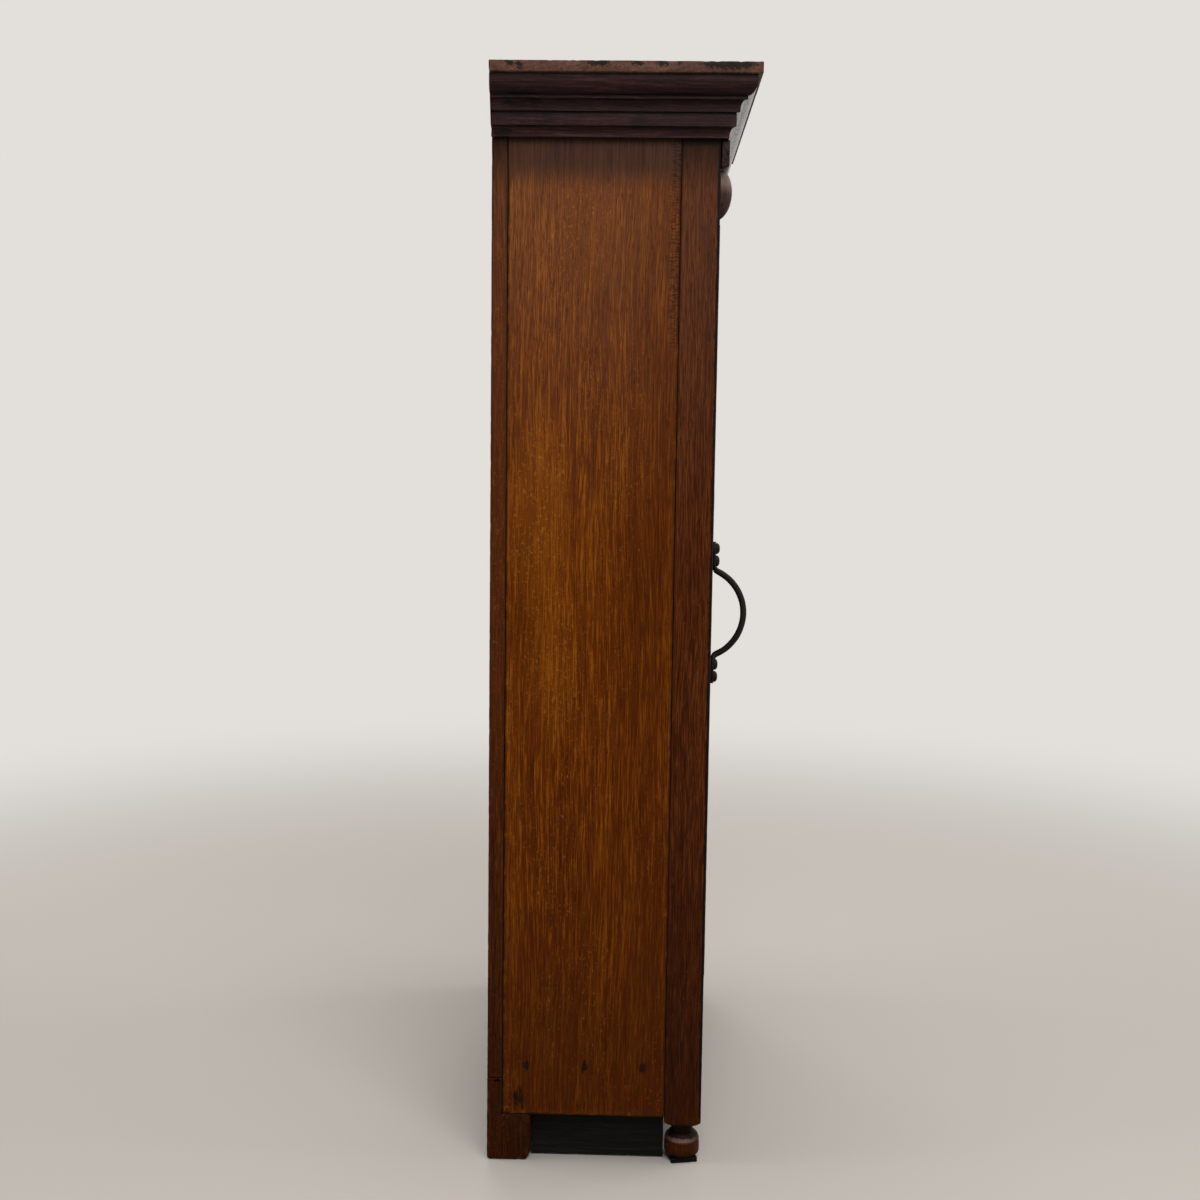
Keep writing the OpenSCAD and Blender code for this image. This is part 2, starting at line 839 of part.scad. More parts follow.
// Left return of the cornice, mitred to the front
module cornice_return() {
    m = crown_over + e;
    color(DARK_TEAK) intersection() {
        translate([-x_out, y_back, z_top]) rotate([90, 0, 0])
            linear_extrude(carcass_d + m) mirror([1, 0]) cornice_section();
        translate([0, 0, z_top - cornice_h - e]) linear_extrude(cornice_h + 2 * e) polygon([
            [-x_out, y_face], [-x_out, y_back], [-x_out - m, y_back], [-x_out - m, y_face - m]
        ]);
    }
}

module cornice_left_moulding() {
    cornice_return();
}

module cornice_right_moulding() {
    to_right() cornice_return();
}

// Left door stile with its rebate and the mortises of the rails
module door_stile() {
    difference() {
        box(-x_door, -x_sight, y_door, y_door_back, door_z0, door_z1);
        box(-x_sight - rebate_w, -x_sight + e, y_glass, y_door_back + e,
            z_sight0 - rebate_w, z_sight1 + rebate_w);
        box(-x_door - e, -x_sight + e, y_tenon - joint_fit, y_tenon + tenon_t + joint_fit,
            door_z0 + 12 - joint_fit, door_z0 + 12 + low_tenon_h + joint_fit);
        box(-x_door - e, -x_sight + e, y_tenon - joint_fit, y_tenon + tenon_t + joint_fit,
            door_z1 - 10 - top_tenon_h - joint_fit, door_z1 - 10 + joint_fit);
    }
}

module door_lock_stile() {
    color(POST_TEAK) difference() {
        door_stile();
        for (s = [-1, 1], i = [0, 1]) {
            bar_y(handle_x, y_door - e, y_door - plate_t + nail_l + e,
                handle_h + s * (nail_inner + i * nail_pitch), nail_r + nail_fit);
        }
        key_oval(y_door - e, y_door - escutcheon_proud + escutcheon_t, joint_fit);
        keyhole(y_door - e, y_door_back + e);
    }
}

module door_hinge_stile() {
    color(POST_TEAK) difference() {
        to_right() door_stile();
        for (z = hinge_levels) {
            door_leaf_plate(z, joint_fit);
            for (s = [-1, 0, 1]) {
                bar_x(x_door - screw_l - e, x_door, screw_y, z + s * screw_pitch, screw_r + screw_fit);
            }
        }
    }
}

// A door rail with through tenons and a rebate on its inner edge
module door_rail(z0, z1, tenon0, tenon1, rebate0, rebate1) {
    color(POST_TEAK) union() {
        difference() {
            box(-x_sight, x_sight, y_door, y_door_back, z0, z1);
            box(-x_sight - e, x_sight + e, y_glass, y_door_back + e, rebate0, rebate1);
        }
        for (s = [0, 1]) {
            mirror([s, 0, 0]) box(-x_door, -x_sight + e, y_tenon, y_tenon + tenon_t, tenon0, tenon1);
        }
    }
}

module door_top_rail() {
    door_rail(z_sight1, door_z1, door_z1 - 10 - top_tenon_h, door_z1 - 10, z_sight1 - e, z_sight1 + rebate_w);
}

module door_bottom_rail() {
    door_rail(door_z0, z_sight0, door_z0 + 12, door_z0 + 12 + low_tenon_h, z_sight0 - rebate_w, z_sight0 + e);
}

module door_upright_bar() {
    color(POST_TEAK) difference() {
        union() {
            box(-bar_w / 2, bar_w / 2, y_door, y_glass, z_sight0, z_sight1);
            box(-web_w / 2, web_w / 2, y_glass - e, y_door_back, z_sight0, z_sight1);
            box(-web_w / 2, web_w / 2, y_glass, y_door_back, z_sight0 - rebate_w, z_sight1 + rebate_w);
        }
        for (z = [low_bar_z, up_bar_z]) {
            box(-web_w, web_w, y_glass, y_door_back + e, z + bar_ledge, z + bar_ledge + web_w);
        }
    }
}

// A cross bar: its face is cut for the upright, its web runs through
module cross_bar(z) {
    color(POST_TEAK) union() {
        difference() {
            box(-x_sight, x_sight, y_door, y_glass, z, z + bar_w);
            box(-bar_w / 2, bar_w / 2, y_door - e, y_glass + e, z - e, z + bar_w + e);
        }
        box(-x_sight - rebate_w, x_sight + rebate_w, y_glass, y_door_back,
            z + bar_ledge, z + bar_ledge + web_w);
    }
}

module door_upper_bar() {
    cross_bar(up_bar_z);
}

module door_lower_bar() {
    cross_bar(low_bar_z);
}

// Lowest corner and size of the glass space of a column and a row
function pane_x0(c) = c == 0 ? -x_sight - rebate_w : web_w / 2;
function pane_x1(c) = c == 0 ? -web_w / 2 : x_sight + rebate_w;
function pane_z0(r) = r == 0 ? z_sight0 - rebate_w : (r == 1 ? low_bar_z : up_bar_z) + bar_ledge + web_w;
function pane_z1(r) = r == 2 ? z_sight1 + rebate_w : (r == 1 ? up_bar_z : low_bar_z) + bar_ledge;

module pane(c, r) {
    color(GLASS) box(pane_x0(c) + glass_gap, pane_x1(c) - glass_gap, y_glass, y_glass + glass_t,
        pane_z0(r) + glass_gap, pane_z1(r) - glass_gap);
}

module top_left_pane() {
    pane(0, 2);
}

module top_right_pane() {
    pane(1, 2);
}

module middle_left_pane() {
    pane(0, 1);
}

module middle_right_pane() {
    pane(1, 1);
}

module bottom_left_pane() {
    pane(0, 0);
}

module bottom_right_pane() {
    pane(1, 0);
}

module glazing_beads() {
    y0 = y_glass + glass_t;
    color(POST_TEAK) for (c = [0, 1], r = [0:2]) {
        x0 = pane_x0(c);
        x1 = pane_x1(c);
        z0 = pane_z0(r);
        z1 = pane_z1(r);
        box(x0, x1, y0, y0 + bead_t, z0, z0 + bead_w);
        box(x0, x1, y0, y0 + bead_t, z1 - bead_w, z1);
        box(x0, x0 + bead_w, y0, y0 + bead_t, z0 + bead_w + glass_gap, z1 - bead_w - glass_gap);
        box(x1 - bead_w, x1, y0, y0 + bead_t, z0 + bead_w + glass_gap, z1 - bead_w - glass_gap);
    }
}

// Flat part of a leaf on the post, grown by a clearance when it is used as a cut
module frame_leaf_plate(z, grow) {
    box(x_post_in, x_post_in + leaf_t + grow, y_door + (grow > 0 ? -e : 0), y_door + door_proud + leaf_w + grow,
        z - hinge_h / 2 - grow, z + hinge_h / 2 + grow);
}

// Flat part of a leaf on the door, grown by a clearance when it is used as a cut
module door_leaf_plate(z, grow) {
    box(x_door - leaf_t - grow, x_door + (grow > 0 ? e : 0), y_door + (grow > 0 ? -e : 0),
        y_door + door_proud + leaf_w + grow, z - hinge_h / 2 - grow, z + hinge_h / 2 + grow);
}

// Knuckle k of a hinge, with its neck to the leaf between x0 and x1
module knuckle(z, k, x0, x1) {
    z0 = z - hinge_h / 2 + k * knuckle_h + (k == 0 ? 0 : knuckle_gap / 2);
    h = knuckle_h - knuckle_gap / (k == 0 || k == knuckles - 1 ? 2 : 1);
    translate([hinge_x, hinge_y, z0]) cylinder(h = h, r = knuckle_r);
    box(x0, x1, hinge_y, y_door + e / 4, z0, z0 + h);
}

module frame_leaf(z) {
    color(BRASS) difference() {
        union() {
            frame_leaf_plate(z, 0);
            for (k = [0, 2, 4]) {
                knuckle(z, k, x_post_in, x_post_in + leaf_t);
            }
        }
        translate([hinge_x, hinge_y, z - hinge_h]) cylinder(h = 2 * hinge_h, r = pin_r + pin_fit);
        for (s = [-1, 0, 1]) {
            leaf_screw_hole(x_post_in, 1, z + s * screw_pitch);
        }
    }
}

module door_leaf(z) {
    color(BRASS) difference() {
        union() {
            door_leaf_plate(z, 0);
            for (k = [1, 3]) {
                knuckle(z, k, x_door - leaf_t, x_door);
            }
        }
        translate([hinge_x, hinge_y, z - hinge_h]) cylinder(h = 2 * hinge_h, r = pin_r + pin_fit);
        for (s = [-1, 0, 1]) {
            leaf_screw_hole(x_door, -1, z + s * screw_pitch);
        }
    }
}

// Countersunk hole through a leaf whose open face is at x, drilled towards dir
module leaf_screw_hole(x, dir, z) {
    translate([x, screw_y, z]) rotate([0, dir * 90, 0]) {
        translate([0, 0, -e]) cylinder(h = leaf_t + 2 * e, r = screw_r + screw_fit);
        translate([0, 0, -e]) cylinder(h = e + screw_sink, r = screw_head_r + screw_fit);
        translate([0, 0, screw_sink]) cylinder(h = screw_head_h, r1 = screw_head_r + screw_fit,
            r2 = screw_r + screw_fit);
    }
}

module hinge_screw(x, dir, z) {
    translate([x, screw_y, z]) rotate([0, dir * 90, 0]) {
        translate([0, 0, screw_sink]) cylinder(h = screw_head_h, r1 = screw_head_r, r2 = screw_r);
        translate([0, 0, screw_sink]) cylinder(h = screw_l - screw_sink, r = screw_r);
    }
}

module upper_hinge_frame_leaf() {
    frame_leaf(hinge_levels[1]);
}

module lower_hinge_frame_leaf() {
    frame_leaf(hinge_levels[0]);
}

module upper_hinge_door_leaf() {
    door_leaf(hinge_levels[1]);
}

module lower_hinge_door_leaf() {
    door_leaf(hinge_levels[0]);
}

module hinge_pins() {
    head = 2;
    color(BRASS) for (z = hinge_levels) {
        translate([hinge_x, hinge_y, z - hinge_h / 2]) cylinder(h = hinge_h, r = pin_r);
        translate([hinge_x, hinge_y, z + hinge_h / 2]) cylinder(h = head, r = knuckle_r - 0.6);
        translate([hinge_x, hinge_y, z - hinge_h / 2 - head]) cylinder(h = head, r = knuckle_r - 0.6);
    }
}

module frame_hinge_screws() {
    color(BRASS) for (z = hinge_levels, s = [-1, 0, 1]) {
        hinge_screw(x_post_in, 1, z + s * screw_pitch);
    }
}

module door_hinge_screws() {
    color(BRASS) for (z = hinge_levels, s = [-1, 0, 1]) {
        hinge_screw(x_door, -1, z + s * screw_pitch);
    }
}

// Iron bow forged in one with its two nailing plates
module door_handle() {
    color(IRON) difference() {
        union() {
            intersection() {
                translate([handle_x, bow_y, handle_h]) rotate([0, 90, 0]) rotate([0, 0, -90 - bow_half])
                    rotate_extrude(angle = 2 * bow_half) translate([bow_r, 0]) circle(rod_r);
                box(handle_x - plate_w, handle_x + plate_w, y_door - handle_reach - e, y_door,
                    handle_h - 2 * bow_r, handle_h + 2 * bow_r);
            }
            for (s = [0, 1]) {
                translate([0, 0, handle_h]) mirror([0, 0, s]) handle_plate();
            }
        }
        for (s = [-1, 1], i = [0, 1]) {
            bar_y(handle_x, plate_y - e, y_door + e, handle_h + s * (nail_inner + i * nail_pitch),
                nail_r + nail_fit);
        }
    }
}

// Upper nailing plate with a round outer end
module handle_plate() {
    r = plate_w / 2;
    box(handle_x - r, handle_x + r, plate_y, y_door, plate_low, plate_low + plate_l - r);
    bar_y(handle_x, plate_y, y_door, plate_low + plate_l - r, r);
    // swelling that takes the end of the rod
    bar_y(handle_x, rod_end_y - 1, plate_y + e, root_z, root_r);
}

// Forged nails with low domed heads
module handle_nails() {
    dome_r = (nail_head_r * nail_head_r + nail_head_h * nail_head_h) / (2 * nail_head_h);
    color(IRON) for (s = [-1, 1], i = [0, 1]) {
        z = handle_h + s * (nail_inner + i * nail_pitch);
        bar_y(handle_x, plate_y - 0.5, plate_y + nail_l, z, nail_r);
        translate([handle_x, plate_y, z]) rotate([90, 0, 0]) intersection() {
            translate([0, 0, nail_head_h - dome_r]) sphere(dome_r);
            cylinder(h = nail_head_h + e, r = nail_head_r);
        }
    }
}

// Keyhole through everything between two Y planes
module keyhole(y0, y1) {
    bar_y(key_x, y0, y1, lock_h, key_r);
    box(key_x - key_slot_w / 2, key_x + key_slot_w / 2, y0, y1, lock_h - key_slot_l, lock_h);
}

module lock_case() {
    f = bolt_fit;
    color(IRON) difference() {
        box(lock_x, lock_x + lock_w, y_door_back, y_door_back + lock_t,
            lock_h - lock_case_h / 2, lock_h + lock_case_h / 2);
        box(lock_x - e, lock_x + bolt_rest + bolt_l + 1, bolt_y - f, bolt_y + bolt_t + f,
            lock_h - bolt_h / 2 - f, lock_h + bolt_h / 2 + f);
        keyhole(y_door_back - e, bolt_y);
    }
}

module lock_bolt() {
    color(IRON) box(lock_x + bolt_rest, lock_x + bolt_rest + bolt_l, bolt_y, bolt_y + bolt_t,
        lock_h - bolt_h / 2, lock_h + bolt_h / 2);
}

// Outline of the keyhole plate between two Y planes
module key_oval(y0, y1, grow) {
    w = 22;
    h = 34;
    bar_y(key_x, y0, y1, lock_h + h / 2 - w / 2 - 3, w / 2 + grow);
    box(key_x - w / 2 - grow, key_x + w / 2 + grow, y0, y1,
        lock_h - h / 2 + w / 2 - 3, lock_h + h / 2 - w / 2 - 3);
    bar_y(key_x, y0, y1, lock_h - h / 2 + w / 2 - 3, w / 2 + grow);
}

// Round-ended plate let into the door round the keyhole
module keyhole_plate() {
    y = y_door - escutcheon_proud;
    color(IRON) difference() {
        key_oval(y, y + escutcheon_t, 0);
        keyhole(y - e, y + escutcheon_t + e);
    }
}

// Recess of the strike plate in the post
module strike_recess(grow) {
    box(-x_post_in - strike_t - grow, -x_post_in + (grow > 0 ? e : 0),
        bolt_y + bolt_t / 2 - strike_w / 2 - grow, bolt_y + bolt_t / 2 + strike_w / 2 + grow,
        lock_h - strike_h / 2 - grow, lock_h + strike_h / 2 + grow);
}

module strike_plate() {
    color(IRON) difference() {
        strike_recess(0);
        box(-x_post_in - strike_t - e, -x_post_in + e, bolt_y - 0.5, bolt_y + bolt_t + 0.5,
            lock_h - bolt_h / 2 - 0.5, lock_h + bolt_h / 2 + 0.5);
    }
}

left_front_post();
right_front_post();
left_rear_foot();
right_rear_foot();
front_foot_pads();
left_side_board();
right_side_board();
left_back_stile();
right_back_stile();
back_top_rail();
back_bottom_rail();
left_back_plank();
middle_back_plank();
right_back_plank();
bottom_board();
ceiling_board();
sill_shelf();
lower_shelf();
middle_shelf();
upper_shelf();
shelf_cleats();
base_boards();
side_nails();
top_rail();
bottom_rail();
door_stop();
frieze_fillet();
left_boss();
right_boss();
cornice_board();
cornice_front_moulding();
cornice_left_moulding();
cornice_right_moulding();
door_lock_stile();
door_hinge_stile();
door_top_rail();
door_bottom_rail();
door_upright_bar();
door_upper_bar();
door_lower_bar();
top_left_pane();
top_right_pane();
middle_left_pane();
middle_right_pane();
bottom_left_pane();
bottom_right_pane();
glazing_beads();
upper_hinge_frame_leaf();
lower_hinge_frame_leaf();
upper_hinge_door_leaf();
lower_hinge_door_leaf();
hinge_pins();
frame_hinge_screws();
door_hinge_screws();
door_handle();
handle_nails();
lock_case();
lock_bolt();
keyhole_plate();
strike_plate();
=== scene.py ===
"""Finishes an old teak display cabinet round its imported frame.

Every timber, pane and iron gets its real shape and surface.
"""

import json
import math
import random

import bmesh
import bpy
import numpy as np
from mathutils import Matrix, Vector, noise

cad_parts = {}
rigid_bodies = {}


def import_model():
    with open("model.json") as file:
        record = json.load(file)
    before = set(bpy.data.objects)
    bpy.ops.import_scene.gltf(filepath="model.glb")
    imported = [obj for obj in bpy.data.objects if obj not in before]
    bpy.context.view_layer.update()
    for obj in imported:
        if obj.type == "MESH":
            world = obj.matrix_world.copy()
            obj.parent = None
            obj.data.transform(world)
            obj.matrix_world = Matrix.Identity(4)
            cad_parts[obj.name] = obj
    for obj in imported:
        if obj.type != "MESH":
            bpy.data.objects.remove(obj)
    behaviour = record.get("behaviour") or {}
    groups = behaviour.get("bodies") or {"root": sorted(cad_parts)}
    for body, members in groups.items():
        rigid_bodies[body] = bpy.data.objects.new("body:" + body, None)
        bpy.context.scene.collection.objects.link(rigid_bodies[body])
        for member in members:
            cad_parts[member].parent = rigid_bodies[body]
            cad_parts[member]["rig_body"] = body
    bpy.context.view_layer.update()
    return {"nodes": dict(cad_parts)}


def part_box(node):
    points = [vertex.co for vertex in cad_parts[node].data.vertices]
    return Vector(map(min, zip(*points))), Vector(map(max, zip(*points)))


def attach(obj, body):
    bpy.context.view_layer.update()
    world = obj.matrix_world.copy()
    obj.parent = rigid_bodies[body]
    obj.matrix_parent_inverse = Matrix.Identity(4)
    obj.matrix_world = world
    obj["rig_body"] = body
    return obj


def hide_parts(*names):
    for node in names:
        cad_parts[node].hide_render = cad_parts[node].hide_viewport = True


bl_info = {
    "name": "Teak Display Cabinet",
    "version": (1, 0, 0),
    "blender": (4, 5, 0),
    "location": "View3D > Sidebar > Cabinet",
    "description": "Timbers, glass, ironwork and studio of a teak display cabinet",
    "category": "Object",
}

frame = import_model()

MM = 0.001

# Planes of the carcass and the door, from the frame
POST_LOW, POST_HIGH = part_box("left_front_post")
SIDE_LOW, SIDE_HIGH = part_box("left_side_board")
FOOT_LOW, FOOT_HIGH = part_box("left_rear_foot")
STILE_LOW, STILE_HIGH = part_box("door_lock_stile")
BAR_LOW, BAR_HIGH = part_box("door_upright_bar")
PANE_LOW, PANE_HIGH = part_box("bottom_left_pane")
X_OUT, X_POST_IN, X_SIDE_IN = -POST_LOW.x, -POST_HIGH.x, -SIDE_HIGH.x
Y_FACE, Y_POST_BACK, Y_FRAME, Y_BACK = POST_LOW.y, POST_HIGH.y, SIDE_HIGH.y, FOOT_HIGH.y
Z_BASE, Z_TOP, Z_PAD = SIDE_LOW.z, POST_HIGH.z, POST_LOW.z
POST_AXIS_X, POST_AXIS_Y = (X_OUT + X_POST_IN) / 2, (Y_FACE + Y_POST_BACK) / 2
Y_DOOR, Y_DOOR_BACK, Y_GLASS = STILE_LOW.y, STILE_HIGH.y, PANE_LOW.y
X_SIGHT = -STILE_HIGH.x
GLASS_REBATE = 8 * MM

# Turned foot under a post, in millimetres
NECK_R, BUN_R, BUN_BASE_R = 15.2, 25.0, 17.5
BUN_LOW_H, BELLY_H, BUN_H = 8.5, 7.0, 36.0
CROWN_END = 76.0
RING_H, RING_DROP, RING_OUT = 6.0, 5.5, 0.8
SHOULDER_H, SHOULDER_CORE = 14.0, 19.0

# Distances from the shoulder's lower edge at which it has a row of points
SHOULDER_ROWS = (0, 0.15, 0.5, 1.1, 1.9, 2.8, 3.7, 4.6, 5.5, 6.4, 7.3, 8.2, 9.1, 10, 11)
SHAFT_ROWS = 170

# Hole for the lock's bolt in the left post, with its play
BOLT_LOW, BOLT_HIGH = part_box("lock_bolt")
BOLT_PLAY, HOLE_DEPTH = 0.6 * MM, 12 * MM
HOLE_Y = (BOLT_LOW.y - BOLT_PLAY, BOLT_HIGH.y + BOLT_PLAY)
HOLE_Z = (BOLT_LOW.z - BOLT_PLAY, BOLT_HIGH.z + BOLT_PLAY)

# Lower edge of the band that a lost moulding kept bare, and the painted shadow line right under the cornice
BARE_Z, SHADOW_LINE_Z = 1364 * MM, 1412 * MM

# How far an outer and an inner corner count as near
EDGE_REACH, NOOK_REACH = 3.5 * MM, 2.2 * MM
# Half angles, in radians, between which a corner is rounded, and the share of a side that a round may take
ROUND_FROM, ROUND_TO, ROUND_SHARE = 0.05, 1.5, 0.45
# Sine of the bend from which a point of an outline is a corner
CORNER_BEND = 0.3
# Rows of points over a rounded end, and half the distance between the two rows at a cut
CAP_STEPS, HAIR = 3, 0.05 * MM
# Marks on each point: stain holds dirt and painted shade, pale holds old varnish and a painted highlight
MARKS = ("arris", "wear", "stain", "pale")

# Features per metre of plane waves and their ripple in grain coordinates, and of knocks and chips
WAVES, RIPPLE, KNOCKS, CHIPS = (22, 22, 3.5), (60, 60, 14), (55, 55, 38), (130, 130, 85)

# Patterns of the teak: features per metre across and along the grain, and detail
DRIFT, STREAKS, FIBRES, CLOUDS = (5, 1.6, 2), (230, 5, 3), (620, 22, 2), (22, 2, 3)
PORES, FLECKS, DUSTY, DOTS, BLOTS = (700, 75, 0), (330, 210, 1), (14, 5, 2), (190, 190, 1), (240, 70, 3)

# Heights in metres over which darkening near the floor ends (damp, and painted shade), paling toward the top
# sets in (fading, and painted light from above) and painted shade right under the cornice sets in
DAMP_AND_SHADE_Z, FADED_AND_LIT_Z, CORNICE_SHADE_Z = (0.05, 0.62), (0.8, 1.45), (1.33, 1.41)

# Stains, paint flakes and rubbed patches on a side. Each has Y, Z, half width and half height in millimetres,
# and its strength. The last stain of the side is a painted shadow line right under the cornice.
SIDE_STAINS = ((133, 92, 12, 22, 0.42), (-26, 118, 9, 7, 0.2), (60, 84, 60, 9, 0.16), (148, 300, 6, 180, 0.14),
               (40, 1411, 400, 9, 0.75))
BOARD_FLAKES = ((137, 1493, 7, 6, 0.56), (150, 1496, 6, 5, 0.54), (36, 1497, 18, 5, 0.5),
                (14, 1492, 5, 4, 0.46), (-14, 1496, 9, 6, 0.5), (-46, 1496, 10, 6, 0.5),
                (-68, 1497, 5, 4, 0.46), (-132, 1495, 44, 7, 0.56))
CORNICE_STAINS = ((135, 1455, 32, 16, 0.4), (120, 1428, 34, 9, 0.36), (-20, 1428, 26, 9, 0.34),
                  (160, 1414, 16, 8, 0.42), (70, 1445, 20, 6, 0.25), (-90, 1418, 8, 4, 0.35))
SIDE_RUBS = ((108, 905, 45, 150, 0.5), (95, 720, 40, 110, 0.35), (30, 760, 45, 200, 0.1), (-22, 112, 6, 5, 0.4),
             (48, 1285, 42, 75, 0.25), (142, 620, 12, 460, 0.12))
STRIP_RUBS = ((167, 930, 20, 430, 0.66),)
# Paint flakes along the front edge of the cornice board: X and half width in millimetres
FRONT_FLAKES = ((-330, 25), (-150, 18), (-90, 12), (60, 30), (190, 16), (340, 26))
# Old knocks on the outer edge of a back stile: Z and half height in millimetres
STILE_KNOCKS = ((1172, 9), (994, 8), (750, 10), (128, 6))


def linear(hex_code):
    """Linear RGBA of an sRGB hex colour."""
    parts = [int(hex_code[i:i + 2], 16) / 255 for i in (1, 3, 5)]
    return tuple(c / 12.92 if c <= 0.04045 else ((c + 0.055) / 1.055) ** 2.4 for c in parts) + (1.0,)


def colour(name, hex_code, description):
    """A colour that a user may change."""
    return bpy.props.FloatVectorProperty(
        name=name, description=description, default=linear(hex_code), size=4, subtype="COLOR", min=0, max=1)


def length(name, mm, description):
    """A length that a user may change, given in millimetres."""
    return bpy.props.FloatProperty(
        name=name, description=description, default=mm * MM, min=0, unit="LENGTH", subtype="DISTANCE")


def angle(name, degrees, description):
    """An angle that a user may change."""
    return bpy.props.FloatProperty(
        name=name, description=description, default=math.radians(degrees), unit="ROTATION")


class CabinetFinish(bpy.types.PropertyGroup):
    """Colours of the cabinet's finishes."""
    side_deep: colour("Side, dark grain", "#3e1700", "Dark grain of the side boards")
    side_body: colour("Side, body", "#5b2800", "Body colour of the side boards")
    side_light: colour("Side, light grain", "#8a4c0b", "Light grain of the side boards")
    side_bare: colour("Side, bare band", "#422a20", "Unwaxed wood that a lost moulding once covered")
    post_deep: colour("Posts, dark grain", "#220a00", "Dark grain of the posts and the door")
    post_body: colour("Posts, body", "#401a05", "Body colour of the posts and the door")
    post_light: colour("Posts, light grain", "#603010", "Light grain of the posts and the door")
    cornice_deep: colour("Cornice, dark grain", "#0f0707", "Dark grain of the stacked moulding")
    cornice_body: colour("Cornice, body", "#200f0f", "Body colour of the stacked moulding")
    cornice_light: colour("Cornice, light grain", "#3a2624", "Light grain of the stacked moulding")
    slab_deep: colour("Cornice board, dark grain", "#2c1d17", "Dark grain of the cornice board")
    slab_body: colour("Cornice board, body", "#4f342a", "Body colour of the cornice board")
    slab_light: colour("Cornice board, light grain", "#684c3e", "Light grain of the cornice board")
    inner_deep: colour("Inside, dark grain", "#5a3a24", "Dark grain of the shelves and planks")
    inner_body: colour("Inside, body", "#7d5738", "Body colour of the shelves and planks")
    inner_light: colour("Inside, light grain", "#9a7350", "Light grain of the shelves and planks")
    # Also painted light: it pales the upper timbers where light from above falls
    faded: colour("Faded tone", "#70503c", "Tone to which light and dust have faded the upper timbers")
    dust: colour("Dust", "#a8742e", "Wax and dust in the open pores")
    # Also the colour of painted shade: under the cornice, round the bun, in seams and inner corners
    grime_and_shade: colour("Grime", "#0e0805", "Dirt that sits in the seams")
    glass: colour("Glass", "#f1f8f4", "Tint of the old window glass")
    # Also the painted highlight on the bun's ring and on the tops of the bosses
    varnish_and_highlight: colour("Old varnish", "#9c8478", "Pale shine of old varnish on worn turnings")
    base_deep: colour("Base boards, dark grain", "#070706", "Dark grain of the boards under the sides")
    base_body: colour("Base boards, body", "#11110f", "Body colour of the boards under the sides")
    base_light: colour("Base boards, light grain", "#21221e", "Light grain of the boards under the sides")
    iron: colour("Iron", "#120c0a", "Scale of the forged iron")
    iron_worn: colour("Worn iron", "#2a211c", "Iron rubbed brown and bright by hands")
    brass: colour("Brass", "#8d7440", "Tarnished brass")
    brass_dark: colour("Dark brass", "#4a3a22", "Brown tarnish on the brass")
    rubber: colour("Rubber", "#060607", "Moulded black rubber")


class CabinetWear(bpy.types.PropertyGroup):
    """Sizes of the wear on the timbers."""
    seam: length("Seam", 0.9, "Radius of an edge that meets another timber")
    arris: length("Arris", 2.0, "Radius to which handling has rounded an open edge")
    wave: length("Plane waves", 0.25, "Height of the long waves that a hand plane leaves")
    bruise: length("Bruises", 0.9, "Depth of the knocks along the edges")
    spacing: length("Mesh spacing", 9, "Largest distance between two mesh lines on a timber")


class CabinetStage(bpy.types.PropertyGroup):
    """Camera, floor and lamps."""
    camera_place: bpy.props.FloatVectorProperty(
        name="Camera", description="Where the camera stands", default=(-2.5525, -0.0397, 1.0651),
        size=3, subtype="XYZ", unit="LENGTH")
    yaw: angle("Yaw", 1.717, "Turn of the view from the X axis")
    pitch: angle("Pitch", 6.842, "Drop of the view below the horizon")
    roll: angle("Roll", 0.758, "Turn of the picture")
    lens: bpy.props.FloatProperty(
        name="Lens", description="Focal length in millimetres on a 36 mm frame", default=49.12, unit="CAMERA")
    floor: colour("Floor", "#b4afa9", "Plain pale floor")
    wall: colour("Background", "#e3dfdb", "Pale background")
    ambient: bpy.props.FloatProperty(
        name="Ambient", description="Light from all round", default=0.3, min=0)
    lamp_power: bpy.props.FloatProperty(
        name="Lamps", description="Power of one of the large soft lamps round the cabinet", default=37, min=0,
        unit="POWER")


# Outlines

def corner_arc(before, corner, after, radius, steps):
    """Points that round one corner of an outline."""
    a, b = before - corner, after - corner
    la, lb = np.linalg.norm(a), np.linalg.norm(b)
    a, b = a / la, b / lb
    half = math.acos(max(-1.0, min(1.0, float(a @ b)))) / 2
    if half > ROUND_TO or half < ROUND_FROM:
        return corner[None]
    reach = min(radius / math.tan(half), ROUND_SHARE * la, ROUND_SHARE * lb)
    radius = reach * math.tan(half)
    centre = corner + (a + b) / np.linalg.norm(a + b) * radius / math.sin(half)
    start, end = corner + a * reach - centre, corner + b * reach - centre
    turn = math.atan2(start[0] * end[1] - start[1] * end[0], start @ end)
    angles = math.atan2(start[1], start[0]) + turn * np.linspace(0, 1, steps + 1)
    return centre + radius * np.stack([np.cos(angles), np.sin(angles)], 1)


def oblong(u0, u1, v0, v1, *radii):
    """Corners of an oblong, each with its radius where they are given."""
    corners = (u0, v0), (u1, v0), (u1, v1), (u0, v1)
    return [(*corner, radius) for corner, radius in zip(corners, radii)] if radii else list(corners)


def split(places):
    """Two places a hair apart for each one, so that a wall can step between them."""
    return [place + d for place in places for d in (-HAIR, HAIR)]


def stops(span, spacing, fine=()):
    """Distances along a straight stretch: close together near both ends, then even."""
    near = [d for d in fine if d < span / 3]
    start = near[-1] if near else 0.0
    count = max(1, round((span - 2 * start) / spacing))
    middle = list(np.linspace(start, span - start, count + 1))
    return sorted({round(d, 7) for d in [0.0, span] + near + middle + [span - d for d in near]})


